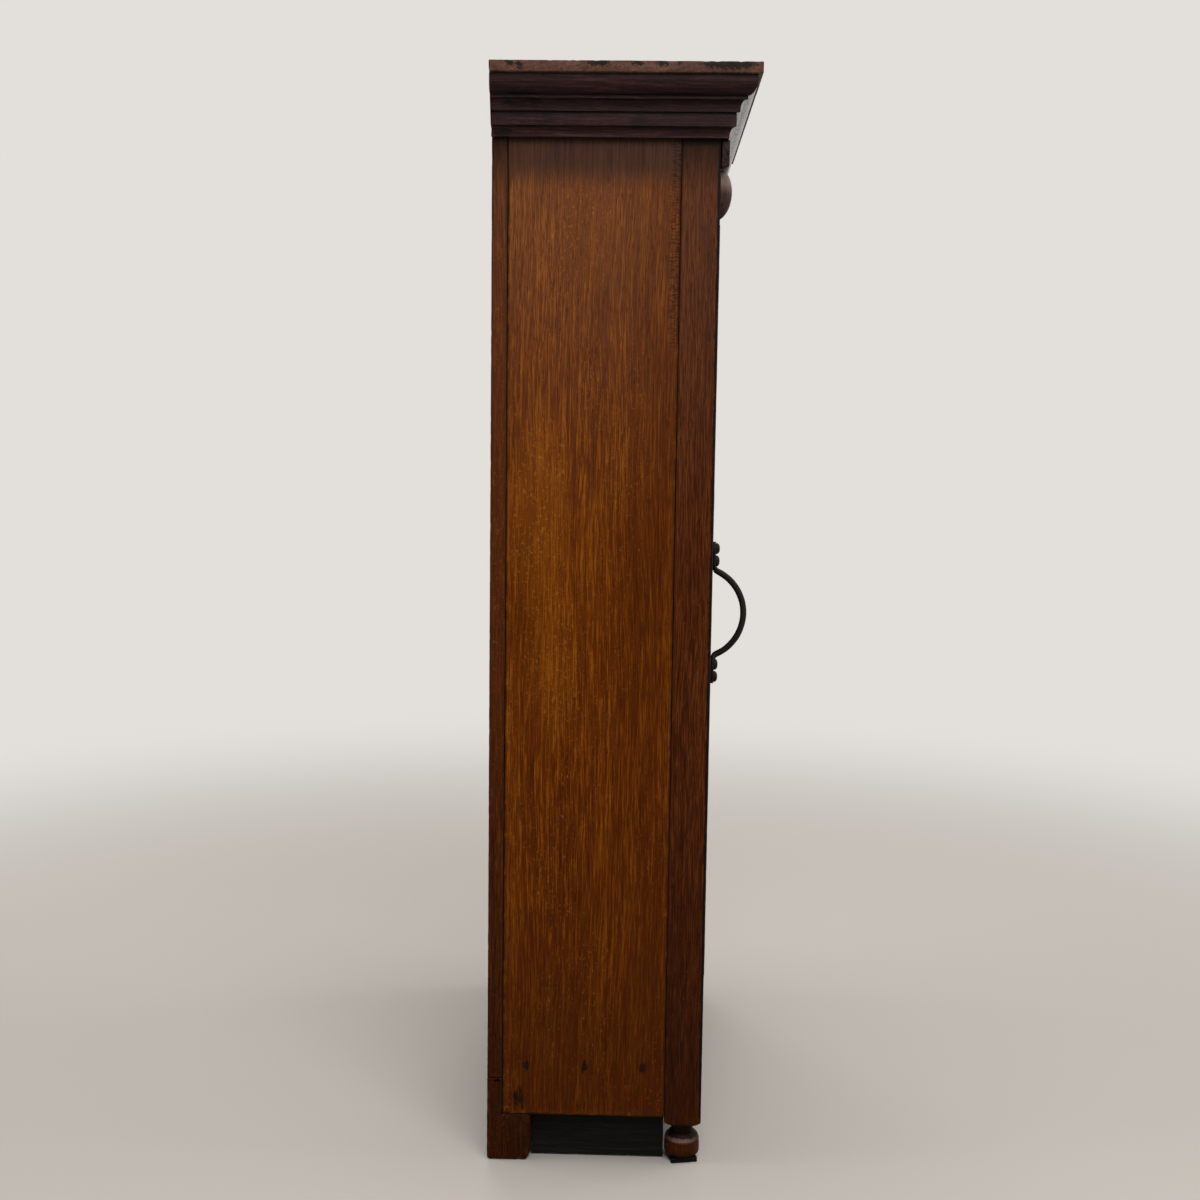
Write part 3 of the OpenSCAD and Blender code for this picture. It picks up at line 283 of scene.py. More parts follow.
class Outline:
    """A closed outline with rounded corners, anticlockwise.

    It knows how near each of its points is to an outer and to an inner corner.
    """

    def __init__(self, corners, spacing, radius, fine=(0.003,), steps=3):
        area = sum(a[0] * b[1] - a[1] * b[0] for a, b in zip(corners, corners[1:] + corners[:1]))
        corners = corners if area > 0 else corners[::-1]
        points = [np.array(c[:2], float) for c in corners]
        radii = [c[2] if len(c) > 2 else radius for c in corners]
        count = len(points)
        rounds = [
            corner_arc(points[i - 1], points[i], points[(i + 1) % count], radii[i], steps)
            if radii[i] > 0 else points[i][None] for i in range(count)
        ]
        made = []
        for i in range(count):
            made.extend(rounds[i])
            a, b = rounds[i][-1], rounds[(i + 1) % count][0]
            span = float(np.linalg.norm(b - a))
            made.extend(a + (b - a) * d / span for d in stops(span, spacing, fine)[1:-1])
        self.points = np.array(made)
        along = np.roll(self.points, -1, 0) - np.roll(self.points, 1, 0)
        self.normals = np.stack([along[:, 1], -along[:, 0]], 1) / np.linalg.norm(along, axis=1)[:, None]
        corners = {1: [], -1: []}
        for i in range(count):
            a, b = points[i] - points[i - 1], points[(i + 1) % count] - points[i]
            bend = (a[0] * b[1] - a[1] * b[0]) / (np.linalg.norm(a) * np.linalg.norm(b))
            if abs(bend) > CORNER_BEND:
                corners[1 if bend > 0 else -1].append(points[i])
        self.arris, self.nook = self.near(corners[1], EDGE_REACH), self.near(corners[-1], NOOK_REACH)

    def near(self, corners, reach):
        """1 at the given corners, fading to 0 beyond the reach."""
        if not corners:
            return np.zeros(len(self.points))
        return np.exp(-(np.min([np.linalg.norm(self.points - c, axis=1) for c in corners], 0) / reach) ** 2)


def ellipse(cx, cy, rx, ry, start, end, count):
    """Points along part of an ellipse, from one angle in degrees to another."""
    return [(cx + rx * math.cos(math.radians(a)), cy + ry * math.sin(math.radians(a)))
            for a in np.linspace(start, end, count + 1)]


# Shapes

class Shape:
    """Vertices, faces, grain coordinates and marks of one piece, before it becomes a mesh.

    arris says how near a point is to an edge, wear how much knocks and hands have taken, stain where dirt sits
    and where shade is painted, and pale where old varnish shows and where a highlight is painted. flat lists
    the faces that aren't smooth.
    """

    def __init__(self, co, faces, grain, arris=0.0, flat=()):
        self.co, self.faces, self.grain, self.flat = co, faces, grain, list(flat)
        self.marks = {key: np.zeros(len(co)) for key in MARKS}
        self.marks["arris"] += arris

    def mirrored(self):
        """The same piece on the other side of the cabinet."""
        other = Shape(self.co * (-1, 1, 1), [f[::-1] for f in self.faces], self.grain + (0.21, 0.05, 3.7),
                      flat=self.flat)
        other.marks = dict(self.marks)
        return other


def joined(shapes):
    """One shape from several."""
    faces, flat, start, done = [], [], 0, 0
    for s in shapes:
        faces.extend([tuple(i + start for i in f) for f in s.faces])
        flat.extend(i + done for i in s.flat)
        start += len(s.co)
        done += len(s.faces)
    co, grain = (np.concatenate([getattr(s, key) for s in shapes]) for key in ("co", "grain"))
    whole = Shape(co, faces, grain, flat=flat)
    whole.marks = {key: np.concatenate([s.marks[key] for s in shapes]) for key in MARKS}
    return whole


def lay(axis, u, v, w):
    """Points from two coordinates across a timber and one along it, which is X, Y or Z."""
    order = {"x": (w, u, v), "y": (v, w, u), "z": (u, v, w)}[axis]
    return np.stack(np.broadcast_arrays(*order), -1)


def lattice(rings, around):
    """Faces between closed rings of points, with a cap at each end."""
    faces = []
    for k in range(rings - 1):
        for i in range(around):
            j = (i + 1) % around
            faces.append((k * around + i, k * around + j, (k + 1) * around + j, (k + 1) * around + i))
    flat = [len(faces), len(faces) + 1]
    faces.append(tuple(range(around - 1, -1, -1)))
    faces.append(tuple(range((rings - 1) * around, rings * around)))
    return faces, flat


def timber(axis, outline, ends, spacing, rounding, name, cuts=(), fine=(0.003,), rim=0.0):
    """Sweeps an outline along an axis. An end is a distance, or gives one for each point where it is mitred.

    rounding is the radius of each end's edge. rim is the width of a border of faces round each end face, so
    that marks of the edge stay near the edge.
    """
    points = outline.points
    low, high = [np.broadcast_to(e(points) if callable(e) else e, len(points)).astype(float) for e in ends]
    r0, r1 = [np.broadcast_to(r(points) if callable(r) else r, len(points)).astype(float) for r in rounding]
    span = float(np.mean(high - low))
    shares = {d / span for d in stops(span, spacing, fine)} | {(c - low.mean()) / span for c in cuts}
    turns = [math.pi / 2 * (1 - k / CAP_STEPS) for k in range(CAP_STEPS)]
    rows = [(low + r0 * (1 - math.sin(t)), r0 * (1 - math.cos(t))) for t in turns if r0.max() > 0]
    rows += [(low + r0 + (high - low - r0 - r1) * s, 0 * r0) for s in sorted(shares)]
    rows += [(high - r1 * (1 - math.sin(t)), r1 * (1 - math.cos(t))) for t in turns[::-1] if r1.max() > 0]
    if rim:
        rows = [(low, r0 + rim)] + rows + [(high, r1 + rim)]
    rng = random.Random(name)
    pith = (rng.choice((-1, 1)) * rng.uniform(0.05, 0.13), rng.uniform(0.04, 0.1), rng.uniform(1, 30))
    co, grain, arris = [], [], []
    middle = points.mean(0)
    for k, (w, inset) in enumerate(rows):
        p = points - outline.normals * inset[:, None]
        co.append(lay(axis, p[:, 0], p[:, 1], w))
        grain.append(np.stack([p[:, 0] - middle[0] + pith[0], p[:, 1] - middle[1] + pith[1], w + pith[2]], 1))
        near = np.minimum(w - low, high - w) if r0.max() + r1.max() > 0 else np.full(len(p), 1.0)
        inner = rim and k in (0, len(rows) - 1)
        arris.append(0 * near if inner else np.maximum(outline.arris, np.exp(-(near / EDGE_REACH) ** 2)))
    faces, flat = lattice(len(rows), len(points))
    shape = Shape(np.concatenate(co), faces, np.concatenate(grain), np.concatenate(arris), flat)
    inner = [1 - bool(rim and k in (0, len(rows) - 1)) for k in range(len(rows))]
    # Inner corners darken: dirt, and painted shade in the corner
    shape.marks["stain"] = 0.55 * np.outer(inner, outline.nook).ravel()
    return shape


def lathe(profile, centre, axis, name, start=0.0, end=360.0, steps=48):
    """Turns a profile of (radius, distance along the axis). A part turn is closed by its flat back."""
    whole = end - start >= 360
    angles = np.radians(np.linspace(start, end, steps + 1)[:steps if whole else None])
    co = np.concatenate([
        lay(axis, centre[0] + r * np.cos(angles), centre[1] + r * np.sin(angles), centre[2] + w)
        for r, w in profile])
    faces, flat = lattice(len(profile), len(angles))
    if not whole:
        flat += [k * len(angles) + len(angles) - 1 for k in range(len(profile) - 1)]
    rng = random.Random(name)
    pith = (rng.uniform(0.04, 0.09), rng.uniform(0.03, 0.08), rng.uniform(1, 30))
    return Shape(co, faces, (co - co.mean(0))[:, [1, 0, 2]] + pith, flat=flat)


# Wear

def field(co, scale, seed):
    """Smooth random values from -1 to 1 at each point."""
    place_of = co * np.array(scale) + random.Random(seed).uniform(10, 90)
    return np.array([noise.noise(p) for p in place_of.tolist()])


def outward(shape):
    """Vertex normals, worked out from the quads."""
    normals = np.zeros_like(shape.co)
    quads = np.array([f for f in shape.faces if len(f) == 4])
    a, b, c, d = (shape.co[quads[:, i]] for i in range(4))
    face = np.cross(c - a, d - b)
    for i in range(4):
        np.add.at(normals, quads[:, i], face)
    size = np.linalg.norm(normals, axis=1)
    return normals / np.maximum(size, 1e-12)[:, None]


def worn(shape, name, wave, bruise):
    """Planes long waves into the faces and knocks the edges.

    What the knocks took stays known for the finish.
    """
    normals = outward(shape)
    along = field(shape.grain, WAVES, name + " wave")
    ripple = field(shape.grain, RIPPLE, name + " ripple")
    edge = field(shape.co, KNOCKS, name + " edge")
    chip = np.clip(field(shape.co, CHIPS, name + " chip") - 0.18, 0, 1)
    depth = shape.marks["arris"] * bruise * (0.2 * (1 + edge) + 2.2 * chip)
    shift = wave * (0.6 * (along - 0.7) + 0.25 * (ripple - 0.7)) - depth
    shape.co = shape.co + normals * np.minimum(shift, 0)[:, None]
    shape.marks["wear"] = np.clip(depth / max(bruise, 1e-6), 0, 1)
    return shape


def dented(shape, spots):
    """Presses hollows of (centre, radii, depth, direction) into a shape."""
    for centre, radii, depth, direction in spots:
        near = (((shape.co - np.array(centre)) / np.array(radii)) ** 2).sum(1)
        shape.co = shape.co + np.array(direction) * (depth * np.clip(1 - near, 0, 1) ** 2)[:, None]
    return shape


def marked(shape, mark, spots):
    """Puts soft oval spots of (centre, radii, strength) on a shape, for its finish to show."""
    for centre, radii, strength in spots:
        near = (((shape.co - np.array(centre)) / np.array(radii)) ** 2).sum(1)
        shape.marks[mark] = np.maximum(shape.marks[mark], strength * np.clip(1.3 - near, 0, 1))
    return shape


def side_spots(x, deep, table):
    """Spots for a face across the X axis from a table of Y, Z, half width, half height and strength."""
    return [((x, y * MM, z * MM), (deep * MM, a * MM, b * MM), s) for y, z, a, b, s in table]


# Pieces

def piece(shape, name, material, node, crease=40, weld=False):
    """Makes a mesh object from a shape. It stands for its node and rides on that node's body."""
    mesh = bpy.data.meshes.new(name)
    mesh.from_pydata(shape.co.tolist(), [], [list(f) for f in shape.faces])
    mesh.polygons.foreach_set("use_smooth", np.isin(np.arange(len(shape.faces)), shape.flat, invert=True))
    grain = mesh.attributes.new("grain", "FLOAT_VECTOR", "POINT").data
    grain.foreach_set("vector", shape.grain.astype("f").ravel())
    for key in MARKS:
        mesh.attributes.new(key, "FLOAT", "POINT").data.foreach_set("value", shape.marks[key].astype("f"))
    if weld:
        bm = bmesh.new()
        bm.from_mesh(mesh)
        bmesh.ops.remove_doubles(bm, verts=bm.verts, dist=0.01 * MM)
        bmesh.ops.dissolve_degenerate(bm, edges=bm.edges, dist=0.01 * MM)
        bm.to_mesh(mesh)
        bm.free()
    mesh.set_sharp_from_angle(angle=math.radians(crease))
    mesh.update()
    return placed(mesh, name, material, node)


def placed(mesh, name, material, node):
    """Links a mesh as a piece that stands for its node."""
    obj = bpy.data.objects.new(name, mesh)
    bpy.context.scene.collection.objects.link(obj)
    mesh.materials.clear()
    mesh.materials.append(material)
    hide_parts(node)
    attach(obj, frame["nodes"][node]["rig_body"])
    return obj


def eased(node, name, material, ease):
    """A copy of a small fitting from the frame with its sharp edges eased."""
    bm = bmesh.new()
    bm.from_mesh(frame["nodes"][node].data)
    bmesh.ops.remove_doubles(bm, verts=bm.verts, dist=0.001 * MM)
    bmesh.ops.dissolve_limit(bm, angle_limit=math.radians(1), verts=bm.verts, edges=bm.edges)
    sharp = [e for e in bm.edges if len(e.link_faces) == 2 and e.calc_face_angle(0) > math.radians(42)]
    bmesh.ops.bevel(bm, geom=sharp, offset=ease, segments=2, profile=0.6, affect="EDGES", clamp_overlap=True)
    mesh = bpy.data.meshes.new(name)
    bm.to_mesh(mesh)
    bm.free()
    mesh.polygons.foreach_set("use_smooth", [True] * len(mesh.polygons))
    mesh.set_sharp_from_angle(angle=math.radians(35))
    return placed(mesh, name, material, node)


def plank(node, name, material, axis, low=None, high=None, radius=None, cap=None, spacing=None,
          change=None, cuts=(), wave=1.0, bruise=1.0):
    """A square-edged timber that fills the box of its node. low and high replace some of the box's corners."""
    wear = bpy.context.scene.cabinet_wear
    lo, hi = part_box(node)
    lo = [lo[i] if not low or low[i] is None else low[i] for i in range(3)]
    hi = [hi[i] if not high or high[i] is None else high[i] for i in range(3)]
    u, v, w = {"x": (1, 2, 0), "y": (2, 0, 1), "z": (0, 1, 2)}[axis]
    radius = wear.seam if radius is None else radius
    radii = radius if isinstance(radius, tuple) else (radius,) * 4
    spacing = spacing or wear.spacing
    outline = Outline(oblong(lo[u], hi[u], lo[v], hi[v], *radii), spacing, 0)
    cap = wear.seam if cap is None else cap
    shape = timber(axis, outline, (lo[w], hi[w]), spacing, (cap, cap), name, cuts)
    shape = worn(shape, name, wear.wave * wave, wear.bruise * bruise)
    if change:
        shape = change(shape)
    return piece(shape, name, material, node, weld=bool(cuts))


# Finishes

def add(tree, kind, inputs=None, out=0, **settings):
    """Adds a node with its settings, feeds its inputs with values or sockets, and gives one of its outputs."""
    node = tree.nodes.new("ShaderNode" + kind)
    for key, value in settings.items():
        setattr(node, key, value)
    for key, value in (inputs or {}).items():
        if isinstance(value, bpy.types.NodeSocket):
            tree.links.new(value, node.inputs[key])
        else:
            node.inputs[key].default_value = value
    return node.outputs[out] if len(node.outputs) else node


def blank(name, **shader):
    """A new material with only an output and a shader, whose uniform values sit on its own sockets."""
    material = bpy.data.materials.new(name)
    material.use_nodes = True
    tree = material.node_tree
    tree.nodes.clear()
    surface = add(tree, "BsdfPrincipled", shader).node
    add(tree, "OutputMaterial", {"Surface": surface.outputs[0]})
    return tree, surface


def dress(tree, surface, shade, rough, height, depth):
    """Links colour, roughness and relief to a shader. depth is how deep the relief goes."""
    bump = add(tree, "Bump", {"Height": height, "Distance": depth, "Strength": 0.6})
    for source, key in ((shade, "Base Color"), (rough, "Roughness"), (bump, "Normal")):
        tree.links.new(source, surface.inputs[key])


def figure(tree, grain, across, along, detail, out="Fac"):
    """Noise drawn out along the grain. across and along are features per metre."""
    drawn = add(tree, "VectorMath", {0: grain, 1: (across, across, along)}, operation="MULTIPLY")
    return add(tree, "TexNoise", {"Vector": drawn, "Scale": 1, "Detail": detail, "Roughness": 0.58}, out)


def teak(name, tones, shares, dust_share, seam_share, rough, gloss, aged_and_shaded=(0, 0, 0)):
    """Plain-sawn teak: growth lines and open pores run along the board, and the wax has sunk in unevenly.

    Growth lines lie 5 to 8 mm apart and streaks 4 mm. Fibres and pores of 0.4 mm are drawn 1.6 mm wide to show.
    Dust sits in flecks 3 mm wide, and in dots of 5 mm where the timber is worn. tones is the first word of its
    colours' names. shares are those of growth lines, streaks, fibres and slow clouds. The last argument tells
    how far the timber darkens near the floor, with damp and painted shade, pales near the top, with fading and
    painted light from above, and darkens right under the cornice with painted shade.
    """
    finish = bpy.context.scene.cabinet_finish
    deep, body, light = (getattr(finish, f"{tones}_{tone}") for tone in ("deep", "body", "light"))
    tree, surface = blank(name, **{"IOR": 1.5, "Specular IOR Level": gloss})
    grain = add(tree, "Attribute", None, "Vector", attribute_name="grain")
    arris, wear, stain, pale = (add(tree, "Attribute", None, "Fac", attribute_name=key) for key in MARKS)
    spot = add(tree, "SeparateXYZ", {0: add(tree, "TexCoord", None, "Object")}).node
    drift = add(tree, "VectorMath", {0: figure(tree, grain, *DRIFT, "Color"), 1: (0.03, 0.03, 0)},
                operation="MULTIPLY")
    bent = add(tree, "VectorMath", {0: grain, 1: drift}, operation="ADD")
    ringed = add(tree, "VectorMath", {0: bent, 1: (1, 1, 0.06)}, operation="MULTIPLY")
    rings = add(tree, "TexWave", {"Vector": ringed, "Scale": 44, "Distortion": 6, "Detail": 3,
                                  "Detail Scale": 0.8}, "Fac", wave_type="RINGS", rings_direction="Z")
    streaks, fibres = figure(tree, bent, *STREAKS), figure(tree, bent, *FIBRES)
    tone = 0.5
    for pattern, share in zip((rings, streaks, fibres, figure(tree, bent, *CLOUDS)), shares):
        centred = add(tree, "Math", {0: pattern, 1: -0.5}, operation="ADD")
        tone = add(tree, "Math", {0: centred, 1: share, 2: tone}, operation="MULTIPLY_ADD")
    ramp = add(tree, "ValToRGB", {"Fac": tone})
    marks = ramp.node.color_ramp.elements
    marks[0].position, marks[0].color = 0.1, deep
    marks[1].position, marks[1].color = 0.92, light
    marks.new(0.5).color = body
    flecks = add(tree, "MapRange", {"Value": figure(tree, bent, *FLECKS), "From Min": 0.6, "From Max": 0.8})
    where = add(tree, "MapRange", {"Value": figure(tree, grain, *DUSTY), "From Min": 0.36, "From Max": 0.66,
                                   "To Max": dust_share})
    where = add(tree, "Math", {0: wear, 1: 1.8 * dust_share, 2: where}, operation="MULTIPLY_ADD",
                use_clamp=True)
    flecks = add(tree, "Math", {0: flecks, 1: where}, operation="MULTIPLY")
    pores = add(tree, "MapRange", {"Value": figure(tree, bent, *PORES), "From Min": 0.6, "From Max": 0.72,
                                   "To Max": 0.5})
    # Painted shade near the floor and under the cornice, painted light toward the top, with damp and fading
    low, high, cornice_shade = (
        add(tree, "MapRange", {"Value": spot.outputs["Z"], "From Min": heights[0], "From Max": heights[1],
                               "To Min": before, "To Max": after}, interpolation_type="SMOOTHSTEP")
        for heights, before, after in ((DAMP_AND_SHADE_Z, aged_and_shaded[0], 0), (FADED_AND_LIT_Z, 0, aged_and_shaded[1]), (CORNICE_SHADE_Z, 0, aged_and_shaded[2])))
    # Seams and edges darken: dirt, and painted shade in the gaps
    seams = add(tree, "MapRange", {"Value": arris, "From Min": 0.35, "From Max": 0.95, "To Max": seam_share},
                interpolation_type="SMOOTHSTEP")
    dots = add(tree, "MapRange", {"Value": figure(tree, grain, *DOTS), "From Min": 0.61, "From Max": 0.76,
                                  "To Max": 2.7 * dust_share})
    dots = add(tree, "Math", {0: dots, 1: wear}, operation="MULTIPLY")
    flecks = add(tree, "Math", {0: flecks, 1: dots}, operation="MAXIMUM")
    rubbed = add(tree, "Math", {0: wear, 1: 0.5}, operation="MULTIPLY")
    # Painted highlight with old varnish where pale is marked; dirt and painted shade where stain is marked
    varnish_and_highlight_share = add(tree, "Math", {0: pale, 1: fibres}, operation="MULTIPLY", use_clamp=True)
    blot = add(tree, "Math", {0: stain, 1: figure(tree, grain, *BLOTS)}, operation="ADD")
    blot = add(tree, "MapRange", {"Value": blot, "From Min": 0.72, "From Max": 0.92, "To Max": 0.9})
    shade = ramp
    for share, top in ((low, deep), (high, finish.faded), (flecks, finish.dust), (pores, deep),
                       (seams, finish.grime_and_shade), (rubbed, light), (cornice_shade, finish.grime_and_shade), (varnish_and_highlight_share, finish.varnish_and_highlight),
                       (blot, finish.grime_and_shade)):
        shade = add(tree, "Mix", {0: share, 6: shade, 7: top}, 2, data_type="RGBA")
    relief = add(tree, "Math", {0: streaks, 1: 1.6, 2: fibres}, operation="MULTIPLY_ADD")
    relief = add(tree, "Math", {0: pores, 1: -1.5, 2: relief}, operation="MULTIPLY_ADD")
    sheen = add(tree, "MapRange", {"Value": streaks, "From Min": 0.3, "From Max": 0.7, "To Min": rough - 0.06,
                                   "To Max": rough + 0.09})
    return tree, surface, grain, spot, shade, sheen, relief


def waxed_side_teak():
    """Hand-planed teak under old wax: warm brown, patchy, bare and dull where a lost moulding lay.

    Hands that open the door have darkened it toward the front. A plane has left chatter beside the post.
    """
    finish = bpy.context.scene.cabinet_finish
    tree, surface, grain, spot, shade, sheen, relief = teak(
        "waxed_side_teak", "side", (0.1, 0.75, 1.6, 0.7), 0.34, 0.9, 0.5, 0.05, (0.62, 0.32, 0.3))
    hands = add(tree, "MapRange", {"Value": spot.outputs["Y"], "From Min": 25 * MM, "From Max": -60 * MM,
                                   "To Max": 0.34}, interpolation_type="SMOOTHSTEP")
    shade = add(tree, "Mix", {0: hands, 6: shade, 7: finish.side_deep}, 2, data_type="RGBA")
    side = add(tree, "Math", {0: spot.outputs["X"]}, operation="ABSOLUTE")
    outside = add(tree, "MapRange", {"Value": side, "From Min": X_OUT - 4 * MM, "From Max": X_OUT - 2 * MM})
    ragged = add(tree, "Math", {0: figure(tree, grain, 90, 12, 2), 1: 16 * MM, 2: spot.outputs["Z"]},
                 operation="MULTIPLY_ADD")
    band = add(tree, "MapRange", {"Value": ragged, "From Min": BARE_Z - 14 * MM, "From Max": BARE_Z + 26 * MM,
                                  "To Max": 0.86}, interpolation_type="SMOOTHSTEP")
    band = add(tree, "Math", {0: band, 1: outside}, operation="MULTIPLY")
    bare = add(tree, "MapRange", {"Value": figure(tree, grain, 300, 9, 3), "From Min": 0.35, "From Max": 0.65})
    bare = add(tree, "Mix", {0: bare, 6: finish.slab_deep, 7: finish.side_bare}, 2, data_type="RGBA")
    shade = add(tree, "Mix", {0: band, 6: shade, 7: bare}, 2, data_type="RGBA")
    beside = add(tree, "MapRange", {"Value": spot.outputs["Y"], "From Min": Y_POST_BACK + 17 * MM,
                                    "From Max": Y_POST_BACK + 9 * MM})
    chatter = add(tree, "MapRange", {"Value": figure(tree, grain, 110, 430, 1), "From Min": 0.42,
                                     "From Max": 0.62})
    above = add(tree, "MapRange", {"Value": ragged, "From Min": 1120 * MM, "From Max": 1180 * MM})
    for share in (beside, above, outside):
        chatter = add(tree, "Math", {0: chatter, 1: share}, operation="MULTIPLY")
    dark = add(tree, "Math", {0: chatter, 1: 0.5}, operation="MULTIPLY")
    shade = add(tree, "Mix", {0: dark, 6: shade, 7: finish.grime_and_shade}, 2, data_type="RGBA")
    relief = add(tree, "Math", {0: chatter, 1: -2.5, 2: relief}, operation="MULTIPLY_ADD")
    dress(tree, surface, shade, sheen, relief, 0.25 * MM)


# A plain teak's name, tones, shares, dust, dirt and painted shade in its seams, roughness, gloss,
# age with painted light and shade by height, and relief in millimetres
PLAIN_TEAKS = (
    # Dark stained teak of the posts, rails and door, rubbed paler along its fine fibres
    ("stained_post_teak", "post", (0.06, 0.5, 1.7, 0.8), 0.1, 0.6, 0.46, 0.05, (0.6, 0.2, 0.78), 0.2),
    # Teak of the stacked moulding, blackened by smoke and polish
    ("smoked_cornice_teak", "cornice", (0.1, 0.7, 1.2, 1.2), 0.06, 0.2, 0.42, 0.08, (0, 0, 0), 0.18),
    # Teak of the cornice board: faded, dusty, with black flakes of an old paint along its edges
    ("faded_board_teak", "slab", (0.12, 0.7, 1.0, 1.3), 0.12, 0.3, 0.55, 0.08, (0, 0, 0), 0.3),
    # Unfinished teak of the inside: dry, dusty and paler than the outside
    ("bare_inner_teak", "inner", (0.2, 0.9, 0.8, 1.0), 0.2, 0.35, 0.68, 0.12, (0, 0, 0), 0.3),
    # Rough teak of the base boards: near black, standing for the dark field seen under each side
    ("blackened_base_teak", "base", (0.1, 0.9, 1.0, 1.4), 0.03, 0.3, 0.6, 0.08, (0, 0, 0), 0.3),
)


def plain_teaks():
    """The teaks that need nothing beyond their grain, dust and age."""
    for *looks, depth in PLAIN_TEAKS:
        tree, surface, _, _, shade, sheen, relief = teak(*looks)
        dress(tree, surface, shade, sheen, relief, depth * MM)


def polished_front_teak():
    """Teak of the front run, polished often, so that it mirrors the room at a low angle."""
    tree, surface, _, _, shade, sheen, relief = teak(
        "polished_front_teak", "cornice", (0.1, 0.7, 1.0, 0.9), 0.06, 0.2, 0.2, 0.5)
    matt = add(tree, "MapRange", {"Value": relief, "From Min": 0.9, "From Max": 1.5, "To Min": 0.06,
                                  "To Max": 0.55})
    tree.links.new(matt, surface.inputs["Specular IOR Level"])
    dress(tree, surface, shade, sheen, relief, 0.15 * MM)


def scaled_forged_iron():
    """Forged iron: hammered, dull black scale over it, and bare metal only where hands and knocks reach it."""
    finish = bpy.context.scene.cabinet_finish
    tree, surface = blank("scaled_forged_iron", **{"Specular IOR Level": 0.12})
    spot = add(tree, "TexCoord", None, "Object")
    wear = add(tree, "Attribute", None, "Fac", attribute_name="wear")
    scale = add(tree, "TexNoise", {"Vector": spot, "Scale": 260, "Detail": 5, "Roughness": 0.65}, "Fac")
    pits = add(tree, "TexNoise", {"Vector": spot, "Scale": 1100, "Detail": 2}, "Fac")
    rubbed = add(tree, "Math", {0: wear, 1: scale, 2: -0.1}, operation="MULTIPLY_ADD")
    patchy = add(tree, "MapRange", {"Value": scale, "From Min": 0.5, "From Max": 0.72, "To Max": 0.4})
    share = add(tree, "Math", {0: rubbed, 1: patchy}, operation="MAXIMUM", use_clamp=True)
    shade = add(tree, "Mix", {0: share, 6: finish.iron, 7: finish.iron_worn}, 2, data_type="RGBA")
    rough = add(tree, "MapRange", {"Value": pits, "From Min": 0.3, "From Max": 0.7, "To Min": 0.48,
                                   "To Max": 0.74})
    relief = add(tree, "Math", {0: scale, 1: pits}, operation="ADD")
    dress(tree, surface, shade, rough, relief, 0.25 * MM)


def tarnished_brass():
    """Cast brass of the hinges, gone brown except where it rubs."""
    finish = bpy.context.scene.cabinet_finish
    tree, surface = blank("tarnished_brass", Metallic=1.0)
    spot = add(tree, "TexCoord", None, "Object")
    cloud = add(tree, "TexNoise", {"Vector": spot, "Scale": 150, "Detail": 4, "Roughness": 0.6}, "Fac")
    share = add(tree, "MapRange", {"Value": cloud, "From Min": 0.4, "From Max": 0.62})
    shade = add(tree, "Mix", {0: share, 6: finish.brass, 7: finish.brass_dark}, 2, data_type="RGBA")
    rough = add(tree, "MapRange", {"Value": cloud, "From Min": 0.3, "From Max": 0.7, "To Min": 0.26,
                                   "To Max": 0.5})
    dress(tree, surface, shade, rough, cloud, 0.06 * MM)


def drawn_window_glass():
    """Old drawn window glass: clear, faintly green, its surface slightly wavy."""
    finish = bpy.context.scene.cabinet_finish
    tree, surface = blank("drawn_window_glass", **{
        "Roughness": 0.02, "IOR": 1.5, "Transmission Weight": 1.0, "Base Color": finish.glass})
    spot = add(tree, "TexCoord", None, "Object")
    wave = add(tree, "TexNoise", {"Vector": spot, "Scale": 14, "Detail": 1}, "Fac")
    bump = add(tree, "Bump", {"Height": wave, "Distance": 0.4 * MM, "Strength": 0.5})
    tree.links.new(bump, surface.inputs["Normal"])


def moulded_rubber():
    """Moulded black rubber: near black, with dust in its fine grain."""
    finish = bpy.context.scene.cabinet_finish
    tree, surface = blank("moulded_rubber", **{"IOR": 1.52, "Specular IOR Level": 0.08})
    spot = add(tree, "TexCoord", None, "Object")
    dust = add(tree, "TexNoise", {"Vector": spot, "Scale": 900, "Detail": 3, "Roughness": 0.7}, "Fac")
    share = add(tree, "MapRange", {"Value": dust, "From Min": 0.55, "From Max": 0.8, "To Max": 0.12})
    shade = add(tree, "Mix", {0: share, 6: finish.rubber, 7: finish.dust}, 2, data_type="RGBA")
    rough = add(tree, "MapRange", {"Value": dust, "From Min": 0.3, "From Max": 0.7, "To Min": 0.45,
                                   "To Max": 0.7})
    dress(tree, surface, shade, rough, dust, 0.1 * MM)


FINISHES = (waxed_side_teak, plain_teaks, polished_front_teak, scaled_forged_iron, tarnished_brass,
            drawn_window_glass, moulded_rubber)


def finish_of(name):
    """The material of a finish."""
    return bpy.data.materials[name]


class CABINET_OT_finishes(bpy.types.Operator):
    """Makes the materials of all timbers, irons, hinges, panes and pads"""
    bl_idname = "cabinet.finishes"
    bl_label = "Finishes"

    def execute(self, context):
        for make in FINISHES:
            make()
        return {"FINISHED"}


# Front posts and feet

